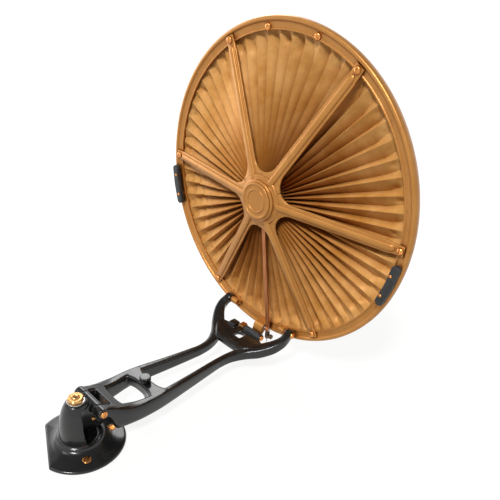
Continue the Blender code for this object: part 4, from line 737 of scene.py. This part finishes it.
def folded_paper(radius):
    """Front of the paper over radius and column. Crests lie on a straight cone. Between two crests the paper
    falls steeply to a valley and climbs back over a broad panel. Near the rim the valley moves across and
    rises, so that each fold ends in flat facets with a low step. Waves, dents and creases are added, and what
    would go past the deepest fold is held there."""
    steps = len(fold_step)
    pleat = np.arange(PLEATS * steps * 2) // (steps * 2)
    down = np.tile(np.concatenate([fold_step, np.ones(steps)]), PLEATS)
    up = np.tile(np.concatenate([np.zeros(steps), fold_step]), PLEATS)
    shift = random.normal(0, 0.03, PLEATS)
    begin = SPREAD_RADIUS + random.uniform(-8, 9, PLEATS)[pleat] * MM
    slide = random.uniform(0.1, 0.42, PLEATS)[pleat]
    r = radius[:, None]
    inside = np.minimum(r, FLAT_RADIUS)
    spread = np.clip((r - begin) / (END_RADIUS - begin), 0, 1)
    valley = VALLEY_AT + slide * spread
    share = down * valley + up * (1 - valley)
    crest = CREST_FOOT + CREST_RISE * (FLAT_RADIUS - inside) / (FLAT_RADIUS - INNER)
    outward = (np.minimum(r, SPREAD_RADIUS) - INNER) / (SPREAD_RADIUS - INNER)
    drop = FOLD_DEPTH * (1 - SHALLOWER * outward ** 2)
    drop = drop * (1 - RUN_OUT * spread) * (r < END_RADIUS + 1 * MM)
    depth = np.minimum(down, 1 - up)
    height = crest - drop * depth
    open_share = np.clip((inside - INNER) / (FLAT_RADIUS - INNER), 0, 1)
    moved = shift[pleat] * (1 - share) + shift[(pleat + 1) % PLEATS] * share
    bearing = 2 * np.pi * (pleat + share + moved * open_share) / PLEATS
    near_rim = np.clip((r - BUCKLE_FROM) / BUCKLE_RUN, 0, 1) * np.clip((END_RADIUS - r) / (5 * MM), 0, 1)
    phase = random.uniform(0, 2 * np.pi, (3, PLEATS))[:, pleat]
    strength = random.uniform(0.1, 1, PLEATS)[pleat] ** 2
    buckle = np.sin(r / (5.5 * MM) + phase[0] + 4 * share)
    buckle = buckle + 0.7 * np.sin(r / (3.2 * MM) + phase[1] - 7 * share)
    height = height + near_rim * strength * BUCKLE * buckle * depth
    ripple = np.sin(r / (26 * MM) + phase[2]) * np.clip((inside - 60 * MM) / (60 * MM), 0, 1)
    height = height + RIPPLE * ripple * depth * (r < END_RADIUS)
    dent_share = random.uniform(0.4, 0.8, PLEATS)[pleat]
    dent_radius = random.uniform(163, 171, PLEATS)[pleat] * MM
    dent_depth = random.uniform(0, DENT_DEPTH, PLEATS)[pleat] * MM
    height = height - dent_depth * np.exp(-((share - dent_share) / DENT_WIDE) ** 2
                                          - ((r - dent_radius) / DENT_LONG) ** 2)
    hurt = np.exp(-((np.mod(bearing, 2 * np.pi) - HURT_AT) / HURT_WIDE) ** 2
                  - ((r - HURT_RADIUS) / HURT_LONG) ** 2)
    creases = np.abs(np.sin(r / (6 * MM) + 9 * bearing)) + np.abs(np.sin(r / (8 * MM) - 23 * bearing))
    height = np.maximum(height - hurt * HURT * creases * (r < END_RADIUS), DEEPEST)
    return polar(r, bearing, height), depth * drop / FOLD_DEPTH


def gilt_paper():
    """Gold-painted paper: fibres and brush clouds, with painted shade browner at the hub and down in the
    folds.
    """
    made, tree, shader, where = start_finish("gilt_paper")
    depth = add(tree, "Attribute", {"attribute_name": "fold_depth"}).outputs["Fac"]
    inward = add(tree, "Attribute", {"attribute_name": "hub_share"}).outputs["Fac"]
    cloud = noise(tree, where, 30.0, 6.0, 0.65)
    fibre = noise(tree, where, 700.0, 4.0)
    wrinkle = noise(tree, where, 90.0, 3.0)
    coat = blended(tree, ranged(tree, cloud, 0.32, 0.68), (0.57, 0.25, 0.05), (0.82, 0.44, 0.15))
    # Painted shade: browner towards the hub, where the deep, narrow folds shade each other.
    coat = blended(tree, ranged(tree, inward, 0.25, 1.0, 0.0, 0.8), coat, (0.36, 0.11, 0.01))
    # Painted shade: the colour goes to a dark brown down in the folds, more so near the hub, so the crests
    # stay lighter.
    painted_fold_shade = combined(tree, "MULTIPLY", ranged(tree, depth, 0.3, 1.0, 0.0, 0.88),
                      ranged(tree, inward, 0.1, 0.7, 0.5, 1.0))
    coat = blended(tree, painted_fold_shade, coat, (0.14, 0.038, 0.003))
    fine = bump(tree, fibre, 0.06, 0.4 * MM)
    feed(tree, shader, Base_Color=coat, Roughness=ranged(tree, cloud, 0.3, 0.7, 0.38, 0.5), Metallic=0.08,
         Specular_IOR_Level=0.12, Normal=bump(tree, wrinkle, 0.12, 2 * MM, Normal=fine))
    return made


def stored(obj, name, values):
    """Point attribute of a mesh that keeps its grid's points in their order."""
    attribute = obj.data.attributes.new(name, "FLOAT", "POINT")
    attribute.data.foreach_set("value", values.astype(np.float32))


paper_front, fold_depth = folded_paper(ring_at)
back_rows = np.append(np.arange(0, len(ring_at) - 1, 2), len(ring_at) - 1)
paper_back = (paper_front - (0, 0, PAPER_THICK))[back_rows][::-1]
whole = np.concatenate([paper_front, paper_back])
paper = build("pleated_paper", [patch(placed(whole, DISC, FRONT), close_rows=True, close_columns=True)],
              gilt_paper(), 16)
# The fold depth and the share of the way in to the hub are kept on the paper's points; the material paints
# shade from them.
stored(paper, "fold_depth", np.concatenate([fold_depth, fold_depth[back_rows][::-1]]).ravel())
hub_share = (1 - (np.hypot(whole[..., 0], whole[..., 1]) - INNER) / (FLAT_RADIUS - INNER)).clip(0, 1)
stored(paper, "hub_share", hub_share.ravel())
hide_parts("pleated_diaphragm")
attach(paper, "reproducer")

# Centre clamp: a light turned cork plug that closes the middle of the paper, painted over with it. The bar's
# screw goes into it.


def painted_cork():
    """Cork under gold paint: soft pits and brown flecks show through."""
    made, tree, shader, where = start_finish("painted_cork")
    fleck = noise(tree, where, 350.0, 5.0, 0.7)
    feed(tree, shader, Roughness=0.62, Normal=bump(tree, fleck, 0.4, 0.8 * MM),
         Base_Color=blended(tree, ranged(tree, fleck, 0.42, 0.62), (0.13, 0.06, 0.02), (0.34, 0.18, 0.06)))
    return made


plug_profile = eased(mm([(0, 18.8), (14.5, 18.8), (29, 17.8), (29, 8.3), (23.2, 8.3), (8.7, 12.3),
                         (0, 12.3)]), 0.8 * MM)
plug = build("centre_plug", [turned(plug_profile, DISC, FRONT, 96)], painted_cork(), 50)
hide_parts("centre_clamp")
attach(plug, "needle_lever")

# Rubber buffers: moulded round-ended pads on the front of the rim, bent to its curve, each held by two brass
# pins through its ends.
PAD_CIRCLE, PAD_HALF, PAD_RUN = 185 * MM, 5 * MM, 22 * MM


def bent_pad(bearing):
    """Pad as a loop of edge points carried round a round-ended line: the line lies on the rim's circle, and
    the edge is a rounded rectangle of the pad's half width and thickness."""
    edge = eased(mm([(5, 9.4), (0, 9.4), (0, 2.9), (5, 2.9)]), 1.6 * MM, 6)
    angle = np.linspace(0, 2 * np.pi, 64, endpoint=False)
    run = np.where(np.abs(np.sin(angle)) < 1e-9, 0, np.sign(np.sin(angle))) * PAD_RUN
    reach_out = PAD_HALF - edge[:, 0, None]
    out = PAD_CIRCLE + reach_out * np.cos(angle)
    swing = bearing + (run + reach_out * np.sin(angle)) / PAD_CIRCLE
    return patch(placed(polar(out, swing, edge[:, 1, None]), DISC, FRONT), close_columns=True)


for name, bearing in (("right", np.radians(-13)), ("left", np.radians(193))):
    pad = build("pad_" + name, [bent_pad(bearing)], RUBBER, 60)
    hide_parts("buffer_" + name)
    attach(pad, "reproducer")
    for number in (1, 2):
        low, high = np.array(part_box("buffer_pin_%s_%d" % (name, number)))
        pin_seat = np.append(low[0] + 1.2 * MM, (low + high)[1:] / 2)
        pad_pin = build("pad_pin_%s_%d" % (name, number),
                        screw(pin_seat, FRONT, 0.8 * number, head=(1.96, 1.2), shank=(1.4, 9.4), flat=2.4,
                              slot=0.13, depth=0.5, steps=24), RED_BRASS)
        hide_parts("buffer_pin_%s_%d" % (name, number))
        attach(pad_pin, "reproducer")

# Hinge eyes and bar bracket: small castings on the foot of the rim, painted gold with it. The eyes take the
# fork's pivots, and the bracket carries the bar's rocking shaft.
for name, node in (("eye_left", "hinge_lug_left"), ("eye_right", "hinge_lug_right"),
                   ("bracket_casting", "bar_bracket")):
    casting = softened(name, node, 0.4 * MM, 4, GOLD)
    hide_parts(node)
    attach(casting, "reproducer")

# Needle bar: a slim forged strip, copper-lacquered. It leans from the rocking shaft up to the middle of the
# paper, where a small screw fixes it to the plug.
BAR_FOOT, BAR_HEAD = mm([274.0, -25.0, 48.16]), mm([268.0, 0.0, 228.66])
BAR_HALF, FIXING_SEAT = 2.75 * MM, mm([288 - 21.6, 0, 228.66])


def copper_lacquer():
    """Copper-brown lacquer on steel: streaks along the strip and rubbed lighter spots."""
    made, tree, shader, where = start_finish("copper_lacquer")
    streak = noise(tree, add(tree, "Mapping", Vector=where, Scale=(300, 300, 30)).outputs[0], 1.0, 4.0)
    coat = blended(tree, ranged(tree, streak, 0.35, 0.68), (0.36, 0.12, 0.04), (0.52, 0.2, 0.07))
    feed(tree, shader, Base_Color=coat, Roughness=ranged(tree, streak, 0.3, 0.7, 0.3, 0.45), Metallic=0.6,
         Normal=bump(tree, streak, 0.05, 0.5 * MM))
    return made


COPPER = copper_lacquer()
lean = np.append(0, (BAR_HEAD - BAR_FOOT)[1:] / np.linalg.norm(BAR_HEAD[1:] - BAR_FOOT[1:]))
run = np.concatenate([np.linspace(2, 11, 6), np.linspace(20, 148, 24), np.linspace(152, 186, 12)]) * MM
forward = np.interp(run, mm([0, 10.8, 150.2, 190]), mm([14, 14, 20.2, 20.2]))
strip = BAR_FOOT * (0, 1, 1) + lean * run[:, None] + np.stack([DISC[0] - forward, 0 * run, 0 * run], axis=1)
thick = np.interp(run, mm([0, 10.8, 150]), mm([1.6, 1.6, 1.1]))
eye = turned(eased(mm([(0, 2.75), (3.6, 2.75), (3.6, -2.75), (0, -2.75)]), 0.4 * MM), BAR_FOOT,
             (0, 1, 0), 48)
bar = build("lever_strip", [carried(strip, BAR_HALF, thick, up=(-1, 0, 0), power=6, rim=32), eye], COPPER, 50)
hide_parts("needle_bar")
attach(bar, "needle_lever")
fixing = build("bar_fixing", screw(FIXING_SEAT, FRONT, 0.5, head=(2.4, 1), shank=(1.2, 5.5), flat=2.4,
                                   slot=0.14, depth=0.5, steps=24), RED_BRASS)
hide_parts("bar_screw")
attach(fixing, "needle_lever")

# Needle holder: a small turned steel socket under the bar's eye, with a steel needle held by a knurled thumb
# screw. Socket and thumb screw are browned in hot oil, and the needle is bright.
THUMB_Z = 38.76 * MM
BROWNED = bright_steel("browned_steel", (0.16, 0.11, 0.075), (0.075, 0.052, 0.038), 0.34)
socket_low, socket_high = np.array(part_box("needle_socket"))
socket_axis = (socket_low + socket_high) / 2 * (1, 1, 0)
mouth, roof = socket_low[2], socket_high[2]
socket_profile = eased([(0, roof), (3.2 * MM, roof), (3.2 * MM, mouth + 2 * MM), (2.2 * MM, mouth),
                        (1.05 * MM, mouth), (1.05 * MM, mouth + 7.7 * MM), (0, mouth + 7.7 * MM)], 0.35 * MM)
holder = build("needle_holder", [turned(socket_profile, socket_axis, (0, 0, 1), 48)], BROWNED)
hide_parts("needle_socket")
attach(holder, "needle_lever")
point, butt = (corner[2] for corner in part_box("needle"))
needle_profile = [(0, butt), (0.75 * MM, butt), (0.75 * MM, point + 5 * MM), (0.45 * MM, point + 2 * MM),
                  (0, point)]
needle = build("needle_steel", [turned(needle_profile, socket_axis, (0, 0, 1), 24)], STEEL)
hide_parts("needle")
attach(needle, "needle_lever")
grip = eased(mm([(0, 8.5), (2.6, 8.5), (3.1, 7.9), (3.1, 4.5), (1.9, 3.5), (1.2, 3.5), (1.2, 1.05),
                 (0, 1.05)]), 0.3 * MM)
thumb_grid = placed(knurled(grip, 2.8 * MM, 20, 0.03, 160), np.append(socket_axis[:2], THUMB_Z), (0, -1, 0))
thumb = build("needle_thumb", [patch(thumb_grid, close_columns=True)], BROWNED)
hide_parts("needle_clamp_screw")
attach(thumb, "needle_clamp")
